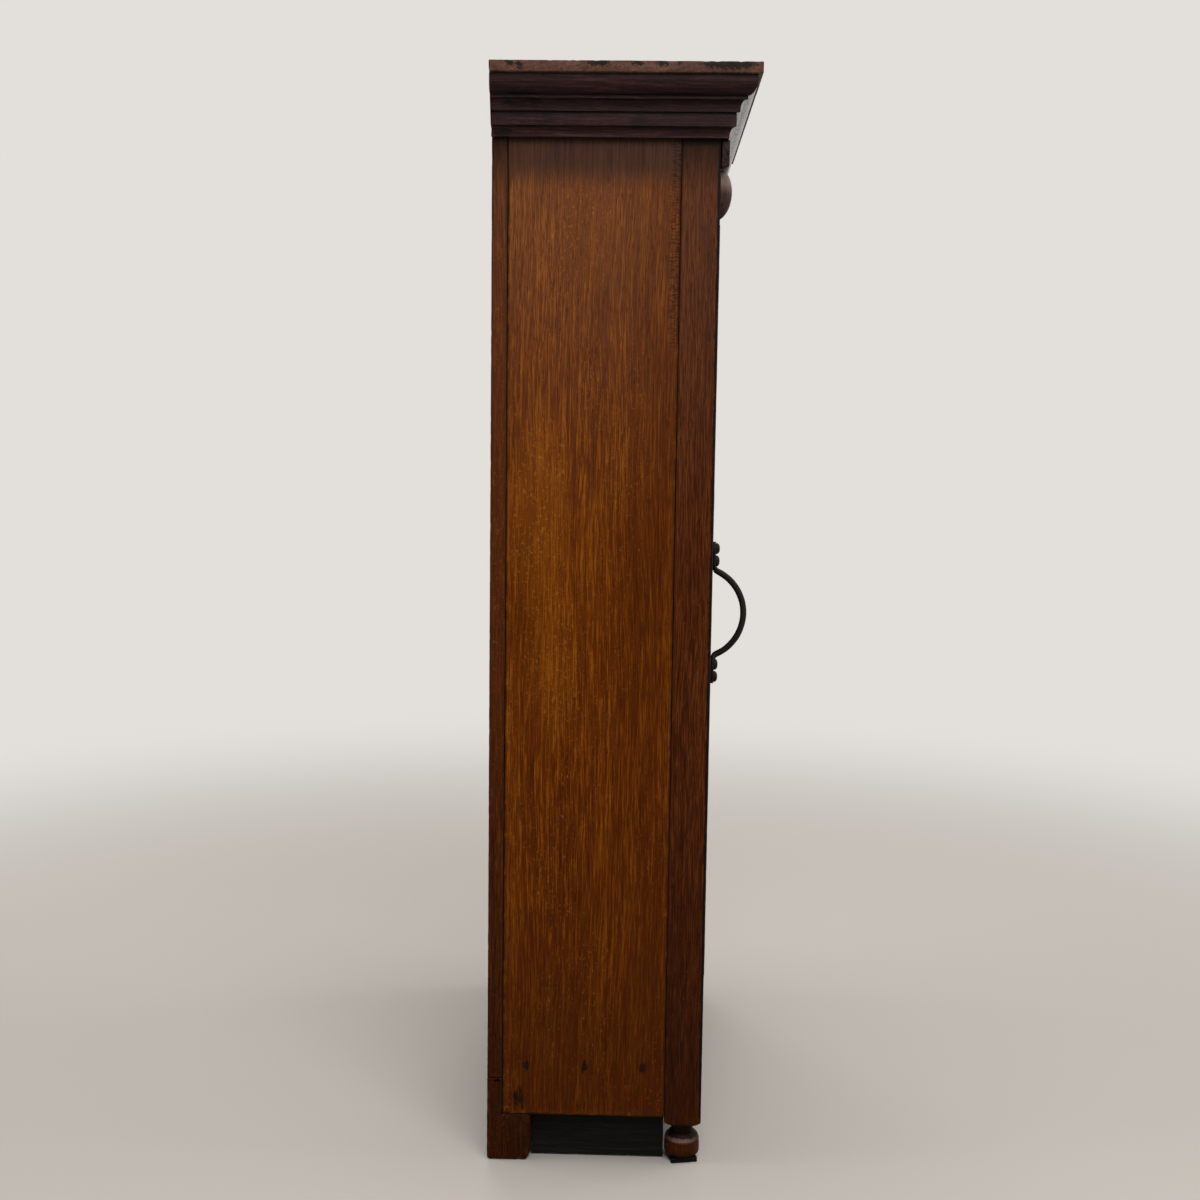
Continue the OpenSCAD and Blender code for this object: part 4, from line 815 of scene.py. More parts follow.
def foot_profile():
    """Radius and height, in millimetres, from the underside of the bun to the top of the neck."""
    base = Z_PAD / MM
    belly0 = base + BUN_LOW_H
    belly1 = belly0 + BELLY_H
    top = base + BUN_H
    rx = (BUN_R - NECK_R) / (1 - math.cos(math.radians(CROWN_END)))
    ry = (top - belly1) / math.sin(math.radians(CROWN_END))
    at = [math.degrees(math.asin((top - RING_DROP - h - belly1) / ry)) for h in (RING_H, 0)]
    crown = [ellipse(BUN_R - rx, belly1, rx, ry, a, b, n) for a, b, n in (
        (0, at[0], 8), (at[0], at[1], 6), (at[1], CROWN_END, 8))]
    low = ellipse(BUN_BASE_R, belly0, BUN_R - BUN_BASE_R, BUN_LOW_H, -90, 0, 10)
    edge = 0.35
    ring = [(r + RING_OUT, z) for r, z in crown[1]]
    ring[0] = (ring[0][0], ring[0][1] + edge)
    ring[-1] = (ring[-1][0], ring[-1][1] - edge)
    neck = [(NECK_R - 0.2, top + 4), (NECK_R, Z_BASE / MM - SHOULDER_H - 1)]
    return low + crown[0][1:] + ring + crown[2] + neck


def post_shape(name):
    """Left front post: turned foot, lathe-rounded shoulder and square shaft in one skin."""
    wear = bpy.context.scene.cabinet_wear
    open_edge = 2.4 * MM
    walls = [(-X_POST_IN, y, 0) for y in split(HOLE_Y)]
    outline = Outline([
        (-X_OUT, Y_FACE, open_edge), (-X_POST_IN, Y_FACE, wear.arris), *walls,
        (-X_POST_IN, Y_POST_BACK, wear.seam), (-X_OUT, Y_POST_BACK, wear.seam)], 4 * MM, 0)
    axis = np.array([-POST_AXIS_X, POST_AXIS_Y])
    spoke = outline.points - axis
    reach = np.linalg.norm(spoke, axis=1)
    rows = [(np.full(len(reach), r * MM), z * MM) for r, z in foot_profile()]
    z0, core = Z_BASE - SHOULDER_H * MM, SHOULDER_CORE * MM
    for z in [z0 + d * MM for d in SHOULDER_ROWS]:
        rise = (z - Z_BASE) / (SHOULDER_H * MM)
        rows.append((np.minimum(reach, core + core * math.sqrt(max(0.0, 1 - rise * rise))), z))
    levels = [Z_BASE - 2 * MM, Z_BASE + 2 * MM, Z_BASE + 6 * MM]
    levels += list(np.linspace(Z_BASE + 12 * MM, Z_TOP - 3 * MM, SHAFT_ROWS)) + [Z_TOP - 0.5 * MM]
    rows += [(reach, z) for z in sorted(levels + split(HOLE_Z))]
    rows.append((reach - 0.5 * MM, Z_TOP))
    co = np.concatenate([np.column_stack([
        axis[0] + spoke[:, 0] / reach * r, axis[1] + spoke[:, 1] / reach * r, np.full(len(reach), z)])
        for r, z in rows])
    arris = np.concatenate([outline.arris * (1 if z > Z_BASE - 4 * MM else 0.25) for r, z in rows])
    faces, flat = lattice(len(rows), len(reach))
    grain = co - (axis[0], axis[1], 0) + (0.07, 0.05, random.Random(name).uniform(1, 30))
    shape = worn(Shape(co, faces, grain, arris, flat), name, wear.wave, wear.bruise)
    return post_marks(shape, name, *co.T)


def post_marks(shape, name, x, y, z):
    """Marks a post by where its points lay before the wear.

    The ring of the bun is pale with old varnish and a painted highlight, brightest toward the sides. Painted
    shade darkens the neck above the bun, the bun's underside and a line right under the cornice. Dirt sits
    along the front arris, where hands pull the door. The belly of the bun is rubbed in spots.
    """
    ring_z = Z_PAD + (BUN_H - RING_DROP - RING_H / 2) * MM
    on_ring = np.clip(1.6 - np.abs(z - ring_z) / (RING_H / 2 * MM), 0, 1)
    # Painted shade over the neck and the top of the bun, and under the bun's belly
    crown = np.clip(2.2 - np.abs(z - (Z_PAD + (BUN_H + 5) * MM)) / (6 * MM), 0, 1)
    under = np.clip((Z_PAD + 9 * MM - z) / (6 * MM), 0, 1)
    outer = np.abs(x + POST_AXIS_X) / (BUN_R * MM)
    handled = np.clip((Y_FACE + 3.4 * MM - y) / (1.5 * MM), 0, 0.9) * (x < 6 * MM - X_OUT) * (z > Z_BASE)
    mottle = np.clip(field(np.stack([x, y, z], 1), (150, 150, 190), name + " mottle") + 0.25, 0, 1)
    belly = np.clip(1.4 - np.abs(z - Z_PAD - 15 * MM) / (5 * MM), 0, 1)
    # Painted highlight on the ring, with old varnish, brightest where it faces the sides
    shape.marks["pale"] = 0.8 * on_ring * (0.2 + 0.8 * np.clip(outer, 0, 1) ** 3)
    shape.marks["stain"] = np.max([shape.marks["stain"], crown, 0.6 * under, handled], 0)
    shape.marks["wear"] = np.maximum(shape.marks["wear"], 0.8 * belly * mottle)
    # Painted shadow line right under the cornice
    return marked(shape, "stain", [((-POST_AXIS_X, POST_AXIS_Y, SHADOW_LINE_Z), (90 * MM, 90 * MM, 10 * MM), 0.75)])


def mortised(shape):
    """Cuts the hole for the lock's bolt into the left post, behind the strike plate."""
    x, y, z = shape.co.T
    hole = ((x > -X_POST_IN - 2 * MM) & (y > HOLE_Y[0]) & (y < HOLE_Y[1]) & (z > HOLE_Z[0]) & (z < HOLE_Z[1]))
    shape.co[:, 0] = np.where(hole, -X_POST_IN - HOLE_DEPTH, x)
    return shape


class CABINET_OT_front_posts(bpy.types.Operator):
    """Builds the two front posts with their turned feet"""
    bl_idname = "cabinet.front_posts"
    bl_label = "Front Posts"

    def execute(self, context):
        for side, shape in (("left", mortised(post_shape("left post"))),
                            ("right", post_shape("right post").mirrored())):
            piece(shape, f"{side}_front_post_timber", finish_of("stained_post_teak"), f"{side}_front_post")
        return {"FINISHED"}


def rear_foot_shape(name):
    """Left rear foot: a worn block, a strip up to the back stile and a tongue behind the side board."""
    wear = bpy.context.scene.cabinet_wear
    y0, y1 = FOOT_LOW.y, FOOT_HIGH.y
    stile_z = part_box("left_back_stile")[0].z
    toe, heel, front_round, low_round, deep = 13 * MM, 5 * MM, 11 * MM, 4 * MM, 8 * MM
    outline = Outline([
        (y0, 0, toe), (y1, 0, heel), (y1, stile_z, wear.seam), (Y_FRAME, stile_z, wear.seam),
        (Y_FRAME, Z_BASE, 0), (y0, Z_BASE, wear.seam)], 4 * MM, 0, steps=5)

    def outer_round(points):
        front = np.clip(1 - (points[:, 0] - y0) / deep, 0, 1)
        low = np.clip(1 - points[:, 1] / deep, 0, 1)
        return np.maximum(np.maximum(front * front_round, low * low_round), 1.2 * MM)

    block = timber("x", outline, (-X_OUT, -X_POST_IN), 5 * MM, (outer_round, wear.arris), name, rim=4 * MM)
    block.grain = block.co + (0.4, 0.1, 2.6)
    across = Outline(oblong(-X_SIDE_IN, -X_POST_IN, y0, Y_FRAME), 12 * MM, wear.seam)
    tongue = timber("z", across, (Z_BASE - 2 * MM, FOOT_HIGH.z), 12 * MM, (0, wear.seam), name)
    return joined([worn(block, name, wear.wave, wear.bruise * 1.3), tongue])


class CABINET_OT_rear_feet(bpy.types.Operator):
    """Builds the two worn rear feet"""
    bl_idname = "cabinet.rear_feet"
    bl_label = "Rear Feet"

    def execute(self, context):
        for side, shape in (("left", rear_foot_shape("left rear foot")),
                            ("right", rear_foot_shape("right rear foot").mirrored())):
            piece(shape, f"{side}_rear_foot_block", finish_of("stained_post_teak"), f"{side}_rear_foot")
        return {"FINISHED"}


class CABINET_OT_pads(bpy.types.Operator):
    """Builds the rubber pads under the front feet"""
    bl_idname = "cabinet.pads"
    bl_label = "Levelling Pads"

    def execute(self, context):
        half, turn = 19 * MM, math.radians(12)
        pads = []
        for side in (-1, 1):
            spin = -side * turn
            corners = [(side * POST_AXIS_X + u * math.cos(spin) - v * math.sin(spin),
                        POST_AXIS_Y + u * math.sin(spin) + v * math.cos(spin))
                       for u, v in oblong(-half, half, -half, half)]
            pads.append(timber("z", Outline(corners, 5 * MM, 2 * MM), (0, Z_PAD), 2 * MM, (0.6 * MM, 1.2 * MM),
                               "pad", fine=()))
        piece(joined(pads), "front_foot_pads_rubber", finish_of("moulded_rubber"), "front_foot_pads")
        return {"FINISHED"}


# Sides and back

# Radius and depth of a side nail, in millimetres, from its worn head to its point
SIDE_NAIL = ((0.05, 0), (1.4, 0.05), (2.3, 0.25), (2.6, 0.7), (2.6, 1.2), (1.8, 1.3), (1.8, 39), (0.1, 39.5))
NAIL_HEAD_R = 2.6 * MM


def nail_places():
    """Y and Z of the nails on a side board."""
    lo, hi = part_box("side_nails")
    return [(y, (lo.z + hi.z) / 2) for y in np.linspace(hi.y - NAIL_HEAD_R, lo.y + NAIL_HEAD_R, 3)]


class CABINET_OT_side_boards(bpy.types.Operator):
    """Builds the two side boards and drives their nails"""
    bl_idname = "cabinet.side_boards"
    bl_label = "Side Boards"

    def execute(self, context):
        for name, sign in (("left", -1), ("right", 1)):
            def aged_and_shaded(shape, x=sign * X_OUT, inward=-sign):
                """Sinks the nails; shows stains, knots, rubbed patches and a painted shadow line under the
                cornice.
                """
                dented(shape, [((x, y, z), (6 * MM,) * 3, 1.0 * MM, (inward, 0, 0)) for y, z in nail_places()])
                marked(shape, "stain", side_spots(x, 9, SIDE_STAINS))
                marked(shape, "stain", [((x, y, z), (6 * MM, 5 * MM, 9 * MM), 0.6) for y, z in nail_places()])
                return marked(shape, "wear", side_spots(x, 9, SIDE_RUBS))

            plank(f"{name}_side_board", f"{name}_side_board_timber", finish_of("waxed_side_teak"),
                  "z", low=(None, Y_POST_BACK, None), spacing=5 * MM, wave=1.6, bruise=0.35, change=aged_and_shaded)
        heads, sunk = [], 0.35 * MM
        for y, z in nail_places():
            nail = lathe([(r * MM, w * MM) for r, w in SIDE_NAIL], (y, z, -X_OUT + sunk), "x", "nail", steps=16)
            nail = worn(nail, f"nail {y:.3f}", 0.2 * MM, 0)
            heads += [nail, nail.mirrored()]
        piece(joined(heads), "side_nails_iron", finish_of("scaled_forged_iron"), "side_nails")
        return {"FINISHED"}


class CABINET_OT_back(bpy.types.Operator):
    """Builds the back frame and its half-lapped planks"""
    bl_idname = "cabinet.back"
    bl_label = "Back"

    def execute(self, context):
        wear = context.scene.cabinet_wear
        self.stiles(wear)
        self.rails(wear)
        self.planks(wear)
        return {"FINISHED"}

    def stiles(self, wear):
        """Grooved back stiles. Old knocks have dented the outer edge."""
        lo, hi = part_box("left_back_stile")
        plank_lo, plank_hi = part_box("left_back_plank")
        corners = [(lo.x, lo.y, wear.seam), (hi.x, lo.y, wear.seam), (hi.x, plank_lo.y, 0),
                   (plank_lo.x, plank_lo.y, 0), (plank_lo.x, plank_hi.y, 0), (hi.x, plank_hi.y, 0),
                   (hi.x, hi.y, wear.arris), (lo.x, hi.y, wear.arris)]
        knocks = [((-X_OUT, 167 * MM, z * MM), (9 * MM, 11 * MM, h * MM), 2.2 * MM, (1, 0.25, 0))
                  for z, h in STILE_KNOCKS]
        for side in ("left", "right"):
            shape = timber("z", Outline(corners, 6 * MM, 0), (lo.z, hi.z), 6 * MM, (wear.seam, wear.seam),
                           f"{side} stile")
            shape = dented(worn(shape, f"{side} stile", wear.wave, wear.bruise * 1.6), knocks)
            marked(shape, "wear", side_spots(-X_OUT, 9, STRIP_RUBS))
            piece(shape if side == "left" else shape.mirrored(), f"{side}_back_stile_timber",
                  finish_of("stained_post_teak"), f"{side}_back_stile")

    def rails(self, wear):
        """Top and bottom rails with the groove for the planks on their inner edge."""
        plank_lo, plank_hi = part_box("left_back_plank")
        for name, top in (("back_top_rail", True), ("back_bottom_rail", False)):
            lo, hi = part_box(name)
            z_in, z_out, z_groove = (lo.z, hi.z, plank_hi.z) if top else (hi.z, lo.z, plank_lo.z)
            corners = [(lo.y, z_out, wear.seam), (hi.y, z_out, wear.seam), (hi.y, z_in, wear.arris),
                       (plank_hi.y, z_in, 0), (plank_hi.y, z_groove, 0), (plank_lo.y, z_groove, 0),
                       (plank_lo.y, z_in, 0), (lo.y, z_in, wear.seam)]
            shape = timber("x", Outline(corners, 9 * MM, 0), (lo.x, hi.x), 9 * MM, (wear.seam, wear.seam), name)
            piece(worn(shape, name, wear.wave, wear.bruise), f"{name}_timber",
                  finish_of("stained_post_teak"), name)

    def planks(self, wear):
        """Half-lapped planks of the back."""
        lap = 8 * MM
        for index, name in enumerate(("left_back_plank", "middle_back_plank", "right_back_plank")):
            lo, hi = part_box(name)
            half = (lo.y + hi.y) / 2
            back0, front1 = lo.x + (lap if index else 0), hi.x - (lap if index < 2 else 0)
            corners = [(lo.x, lo.y), (front1, lo.y)]
            corners += [(front1, half, 0), (hi.x, half, 0)] if index < 2 else []
            corners += [(hi.x, hi.y), (back0, hi.y)]
            corners += [(back0, half, 0), (lo.x, half, 0)] if index else []
            shape = timber("z", Outline(corners, 12 * MM, wear.arris), (lo.z, hi.z), 12 * MM,
                           (wear.seam, wear.seam), name)
            piece(worn(shape, name, wear.wave * 2, wear.bruise), f"{name}_timber",
                  finish_of("bare_inner_teak"), name)


class CABINET_OT_base_boards(bpy.types.Operator):
    """Builds the dark boards that close the gap under the side boards"""
    bl_idname = "cabinet.base_boards"
    bl_label = "Base Boards"

    def execute(self, context):
        lo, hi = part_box("base_boards")
        thick = 10 * MM
        outline = Outline(oblong(lo.z, hi.z, lo.x, lo.x + thick), 5 * MM, 1.2 * MM)
        board = timber("y", outline, (lo.y, hi.y), 5 * MM, (1 * MM, 1 * MM), "base board")
        board = worn(board, "base board", 0.4 * MM, 1 * MM)
        piece(joined([board, board.mirrored()]), "base_boards_timber", finish_of("blackened_base_teak"),
              "base_boards")
        return {"FINISHED"}


# Inside

class CABINET_OT_inner_boards(bpy.types.Operator):
    """Builds the bottom and ceiling boards, the shelves and their cleats"""
    bl_idname = "cabinet.inner_boards"
    bl_label = "Inner Boards"

    def execute(self, context):
        inner = finish_of("bare_inner_teak")

        def notched(shape):
            """Cuts the front corners off where the posts stand."""
            x, y, _ = shape.co.T
            beside = np.abs(x) > X_POST_IN + 0.02 * MM
            shape.co[:, 1] = np.where(beside, np.maximum(y, Y_POST_BACK + 0.5 * MM), y)
            return shape

        cuts = (-X_POST_IN, -X_POST_IN - 0.1 * MM, X_POST_IN, X_POST_IN + 0.1 * MM)
        for node in ("bottom_board", "ceiling_board", "sill_shelf"):
            plank(node, f"{node}_timber", inner, "x", change=notched, cuts=cuts, spacing=12 * MM)
        for node in ("lower_shelf", "middle_shelf", "upper_shelf"):
            plank(node, f"{node}_timber", inner, "x", radius=(2 * MM, 0.9 * MM, 0.9 * MM, 2 * MM),
                  spacing=12 * MM, wave=1.5)
        lo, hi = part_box("shelf_cleats")
        cleats, wide = [], 18 * MM
        for shelf in ("sill_shelf", "lower_shelf", "middle_shelf", "upper_shelf"):
            z1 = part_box(shelf)[0].z
            z0, x0, x1 = z1 - wide, lo.x, lo.x + wide
            outline = Outline(oblong(z0, z1, x0, x1, 1 * MM, 0.8 * MM, 0.8 * MM, 6 * MM), 6 * MM, 0)
            cleat = timber("y", outline, (lo.y, hi.y), 9 * MM, (1 * MM, 1 * MM), shelf)
            cleat = worn(cleat, shelf, 0.2 * MM, 0.6 * MM)
            cleats += [cleat, cleat.mirrored()]
        piece(joined(cleats), "shelf_cleats_timber", inner, "shelf_cleats")
        return {"FINISHED"}


# Front rails and their ornaments

class CABINET_OT_front_rails(bpy.types.Operator):
    """Builds the top and bottom rails, the door stop, the frieze fillet and the egg bosses"""
    bl_idname = "cabinet.front_rails"
    bl_label = "Front Rails"

    def execute(self, context):
        wear = context.scene.cabinet_wear
        dark = finish_of("stained_post_teak")
        for node in ("top_rail", "bottom_rail"):
            plank(node, f"{node}_timber", dark, "x", (-X_POST_IN, None, None),
                  (X_POST_IN, None, None), radius=(wear.arris, wear.seam, wear.seam, wear.arris))
        plank("door_stop", "door_stop_timber", dark, "x")
        self.frieze(wear)
        self.bosses()
        return {"FINISHED"}

    def frieze(self, wear):
        """Two members with a groove between them, the lower one rounded underneath."""
        lo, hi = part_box("frieze_fillet")
        groove_z, groove_half, groove_d, round_r = lo.z + 15 * MM, 0.7 * MM, 1.8 * MM, 3 * MM
        corners = [(hi.y, lo.z, 0.4 * MM), (hi.y, hi.z, 0.4 * MM), (lo.y, hi.z, 0.8 * MM),
                   (lo.y, groove_z + groove_half, 0.6 * MM), (lo.y + groove_d, groove_z + groove_half, 0),
                   (lo.y + groove_d, groove_z - groove_half, 0), (lo.y, groove_z - groove_half, 0.6 * MM),
                   (lo.y, lo.z, round_r)]
        outline = Outline(corners, 5 * MM, 0, (0.001,), 4)
        shape = timber("x", outline, (lo.x, hi.x), 9 * MM, (1.2 * MM, 1.2 * MM), "frieze")
        piece(worn(shape, "frieze", wear.wave * 0.5, wear.bruise * 0.6), "frieze_fillet_timber",
              finish_of("smoked_cornice_teak"), "frieze_fillet")

    def bosses(self):
        """Half eggs, blunt above and pointed below."""
        for side in ("left", "right"):
            lo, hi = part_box(f"{side}_boss")
            radius, tall = (hi.x - lo.x) / 2, hi.z - lo.z
            fat, pull, blunt = tall * 0.545, radius / 2, 78
            tip = math.degrees(math.acos(pull / (radius + pull)))
            below, over = fat / math.sin(math.radians(tip)), (tall - fat) / math.sin(math.radians(blunt))
            profile = [(0.05 * MM, 0)] + ellipse(-pull, fat, radius + pull, below, -tip * 0.97, 0, 16)
            profile += ellipse(0, fat, radius, over, 5, blunt, 14)
            profile += [(radius * 0.14, tall - 0.15 * MM), (0.05 * MM, tall)]
            shape = lathe(profile, ((lo.x + hi.x) / 2, hi.y, lo.z), "z", side, 180, 360, 32)
            shape = worn(shape, f"{side} boss", 0.5 * MM, 0)
            # Painted highlight, paler toward the top of each egg where the light falls
            shape.marks["pale"] = np.clip(0.3 + 2.2 * (shape.co[:, 2] - lo.z) / tall - 1.3, 0.1, 0.6)
            piece(shape, f"{side}_boss_turning", finish_of("smoked_cornice_teak"), f"{side}_boss")


# Cornice

def cornice_section():
    """Projection and height below the board, in millimetres, of the stacked moulding, with the edge radii."""
    edge = 0.5
    section = [(0, 0, 0), (43.5, 0, 0), (43.5, 6, edge)]
    section += [(p, -z, 0) for p, z in ellipse(31.5, -6, 12, 19, -6, -90, 8)]
    section += [(31.5, 29.5, edge), (29, 29.5, 0)]
    section += [(p, -z, 0) for p, z in ellipse(29, -40.5, 6.6, 11, 96, 180, 8)]
    section += [(22.4, 44, edge), (18, 44, 0), (18, 61.5, edge)]
    section += [(p, -z, 0) for p, z in ellipse(17, -72, 7.5, 10.5, 90, 180, 8)]
    section += [(9.5, 75, edge), (0, 75, 0)]
    return section


class CABINET_OT_cornice(bpy.types.Operator):
    """Builds the cornice board and the mitred runs of its stacked moulding"""
    bl_idname = "cabinet.cornice"
    bl_label = "Cornice"

    def execute(self, context):
        wear = context.scene.cabinet_wear
        smoked = finish_of("smoked_cornice_teak")
        lo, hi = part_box("cornice_board")
        spots = side_spots(-hi.x, 12, BOARD_FLAKES) + side_spots(hi.x, 12, BOARD_FLAKES)
        spots += [((x * MM, lo.y, hi.z - 5 * MM), (a * MM, 12 * MM, 5 * MM), 0.4)
                  for x, a in FRONT_FLAKES]

        def flaked(shape):
            """Turns the grain along the front and leaves flakes of paint at the ends and the front edge."""
            shape.grain = shape.co[:, [1, 2, 0]] + (0.3, 0.04, 7)
            return marked(shape, "stain", spots)

        plank("cornice_board", "cornice_board_timber", finish_of("faded_board_teak"), "y",
              radius=1.2 * MM, cap=1.2 * MM, spacing=5 * MM, bruise=1.3, change=flaked)
        front = [(Y_FACE - p * MM, Z_TOP - z * MM, r * MM) for p, z, r in cornice_section()]
        side = [(Z_TOP - z * MM, -X_OUT - p * MM, r * MM) for p, z, r in cornice_section()]
        mitre = (lambda points: -X_OUT - (Y_FACE - points[:, 0]),
                 lambda points: X_OUT + (Y_FACE - points[:, 0]))
        shape = timber("x", Outline(front, 6 * MM, 0, (0.0008,), 2), mitre, 7 * MM, (0, 0), "front run")
        piece(worn(shape, "front run", wear.wave, wear.bruise * 0.7), "cornice_front_run",
              finish_of("polished_front_teak"), "cornice_front_moulding")
        for name in ("left", "right"):
            ends = (lambda points: Y_FACE - (-X_OUT - points[:, 1]), Y_BACK)
            shape = timber("y", Outline(side, 6 * MM, 0, (0.0008,), 2), ends, 5 * MM, (0, 0.5 * MM),
                           f"{name} run")
            shape = worn(shape, f"{name} run", wear.wave, wear.bruise * 0.7)
            marked(shape, "stain", side_spots(-X_OUT - 20 * MM, 50, CORNICE_STAINS))
            piece(shape if name == "left" else shape.mirrored(), f"cornice_{name}_run", smoked,
                  f"cornice_{name}_moulding")
        return {"FINISHED"}


# Door

# Radii of the door's own edges, of a freshly cut stick's edges, and of a bead's round
DOOR_EDGE, SOFT, BEAD_ROUND = 1.2 * MM, 0.4 * MM, 2.5 * MM


class CABINET_OT_door_frame(bpy.types.Operator):
    """Builds the door's stiles, rails, glazing bars and beads"""
    bl_idname = "cabinet.door_frame"
    bl_label = "Door Frame"

    def execute(self, context):
        wear = context.scene.cabinet_wear
        dark = finish_of("stained_post_teak")
        sight = (BAR_LOW.z + GLASS_REBATE, BAR_HIGH.z - GLASS_REBATE)
        self.stiles(wear, dark)
        self.rails(wear, dark, sight)
        self.bars(wear, dark, sight)
        self.beads(wear, dark)
        return {"FINISHED"}

    def stiles(self, wear, dark):
        """Stiles with a stopped rebate for the glass."""
        lo, hi = STILE_LOW, STILE_HIGH
        corners = [(lo.x, lo.y, wear.arris), (hi.x, lo.y, DOOR_EDGE), (hi.x, Y_GLASS, 0),
                   (hi.x - GLASS_REBATE, Y_GLASS, 0), (hi.x - GLASS_REBATE, hi.y, DOOR_EDGE),
                   (lo.x, hi.y, DOOR_EDGE)]
        for side in ("lock", "hinge"):
            shape = timber("z", Outline(corners, 6 * MM, 0), (lo.z, hi.z), 9 * MM, (DOOR_EDGE, DOOR_EDGE),
                           side, split((BAR_LOW.z, BAR_HIGH.z)))
            x, y, z = shape.co.T
            solid = (z < BAR_LOW.z) | (z > BAR_HIGH.z)
            rebate = (y > Y_GLASS - HAIR) & (x > hi.x - GLASS_REBATE - 4 * MM)
            shape.co[:, 0] = np.where(solid & rebate, np.minimum(x + GLASS_REBATE, hi.x), x)
            shape = worn(shape, side, wear.wave, wear.bruise * 0.6)
            # Darkens the outer edge of each stile
            shape.marks["stain"] = np.clip((lo.x + 2.2 * MM - shape.co[:, 0]) / (1.2 * MM), 0, 0.9)
            piece(shape if side == "lock" else shape.mirrored(), f"door_{side}_stile_timber", dark,
                  f"door_{side}_stile", weld=True)

    def rails(self, wear, dark, sight):
        """Top and bottom rails with a rebate on their inner edge."""
        lo, hi = STILE_LOW, STILE_HIGH
        for node, z_in, z_out in (("door_top_rail", sight[1], hi.z), ("door_bottom_rail", sight[0], lo.z)):
            z_rebate = z_in + math.copysign(GLASS_REBATE, z_out - z_in)
            corners = [(lo.y, z_out, DOOR_EDGE), (lo.y, z_in, DOOR_EDGE), (Y_GLASS, z_in, 0),
                       (Y_GLASS, z_rebate, 0), (hi.y, z_rebate, DOOR_EDGE), (hi.y, z_out, DOOR_EDGE)]
            shape = timber("x", Outline(corners, 6 * MM, 0), (-X_SIGHT, X_SIGHT), 9 * MM,
                           (0.5 * MM, 0.5 * MM), node)
            piece(worn(shape, node, wear.wave, wear.bruise * 0.6), f"{node}_timber", dark, node)

    def stick(self, axis, box, radii, name):
        """A slender stick from its box across and along the axis, with a radius for each of its four edges."""
        wear = bpy.context.scene.cabinet_wear
        outline = Outline(oblong(*box[:4], *radii), 5 * MM, 0, (0.002,))
        shape = timber(axis, outline, box[4:], 9 * MM, (SOFT, SOFT), name, fine=())
        return worn(shape, name, wear.wave * 0.6, wear.bruise * 0.4)

    def bars(self, wear, dark, sight):
        """The upright bar, and the two cross bars that are cut round its face."""
        half, web, face_r, tuck = (BAR_HIGH.x - BAR_LOW.x) / 2, 3 * MM, 3 * MM, 0.5 * MM
        lows = [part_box(node)[0].z for node in ("door_lower_bar", "door_upper_bar")]
        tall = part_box("door_lower_bar")[1].z - lows[0]
        mids = [z + tall / 2 for z in lows]
        upright = [self.stick("z", (-half, half, Y_DOOR, Y_GLASS, *sight), (face_r, face_r, SOFT, SOFT),
                              "upright")]
        for z0, z1 in zip([BAR_LOW.z] + [z + web for z in mids], [z - web for z in mids] + [BAR_HIGH.z]):
            upright.append(self.stick("z", (-web, web, Y_GLASS - tuck, Y_DOOR_BACK, z0, z1),
                                      (0, 0, 1 * MM, 1 * MM), f"web {z0:.2f}"))
        piece(joined(upright), "door_upright_bar_timber", dark, "door_upright_bar")
        end = X_SIGHT + GLASS_REBATE
        for node, z, mid in zip(("door_lower_bar", "door_upper_bar"), lows, mids):
            parts = [self.stick("x", (Y_DOOR, Y_GLASS, z, z + tall, x0, x1), (face_r, SOFT, SOFT, face_r),
                                node + side)
                     for side, x0, x1 in (("a", -X_SIGHT, -half), ("b", half, X_SIGHT))]
            parts.append(self.stick("x", (Y_GLASS - tuck, Y_DOOR_BACK, mid - web, mid + web, -end, end),
                                    (0, 1 * MM, 1 * MM, 0), node + "c"))
            piece(joined(parts), f"{node}_timber", dark, node)

    def beads(self, wear, dark):
        """Four quarter-round beads behind each pane."""
        gap, wide, deep = 0.5 * MM, 6 * MM, 8 * MM
        y0, y1 = PANE_HIGH.y, PANE_HIGH.y + deep
        beads = []
        for row in ("top", "middle", "bottom"):
            for side in ("left", "right"):
                lo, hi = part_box(f"{row}_{side}_pane")
                x0, x1, z0, z1 = lo.x - gap, hi.x + gap, lo.z - gap, hi.z + gap
                mid0, mid1 = z0 + wide + gap, z1 - wide - gap
                for axis, box, rounded, name in (
                        ("x", (y0, y1, z0, z0 + wide, x0, x1), 2, "low bead"),
                        ("x", (y0, y1, z1 - wide, z1, x0, x1), 1, "top bead"),
                        ("z", (x0, x0 + wide, y0, y1, mid0, mid1), 2, "left bead"),
                        ("z", (x1 - wide, x1, y0, y1, mid0, mid1), 3, "right bead")):
                    radii = [BEAD_ROUND if k == rounded else SOFT for k in range(4)]
                    beads.append(self.stick(axis, box, radii, name))
        piece(joined(beads), "glazing_beads_timber", dark, "glazing_beads")


class CABINET_OT_panes(bpy.types.Operator):
    """Builds the six panes"""
    bl_idname = "cabinet.panes"
    bl_label = "Panes"

    def execute(self, context):
        for row in ("top", "middle", "bottom"):
            for side in ("left", "right"):
                node = f"{row}_{side}_pane"
                plank(node, f"{node}_glass", finish_of("drawn_window_glass"), "z", radius=0.4 * MM,
                      cap=0.4 * MM, spacing=14 * MM, wave=0.1, bruise=0)
        return {"FINISHED"}


# Ironwork and hinges

# The bow's bar, its bend and its nailing plates, and the domed heads of the handle's nails
ROD_R, BOW_R, PLATE_T = 4.5 * MM, 64.5 * MM, 4.5 * MM
HEAD_R, HEAD_H, NAIL_PITCH, SHANK_R = 8.5 * MM, 6 * MM, 17.5 * MM, 1.8 * MM
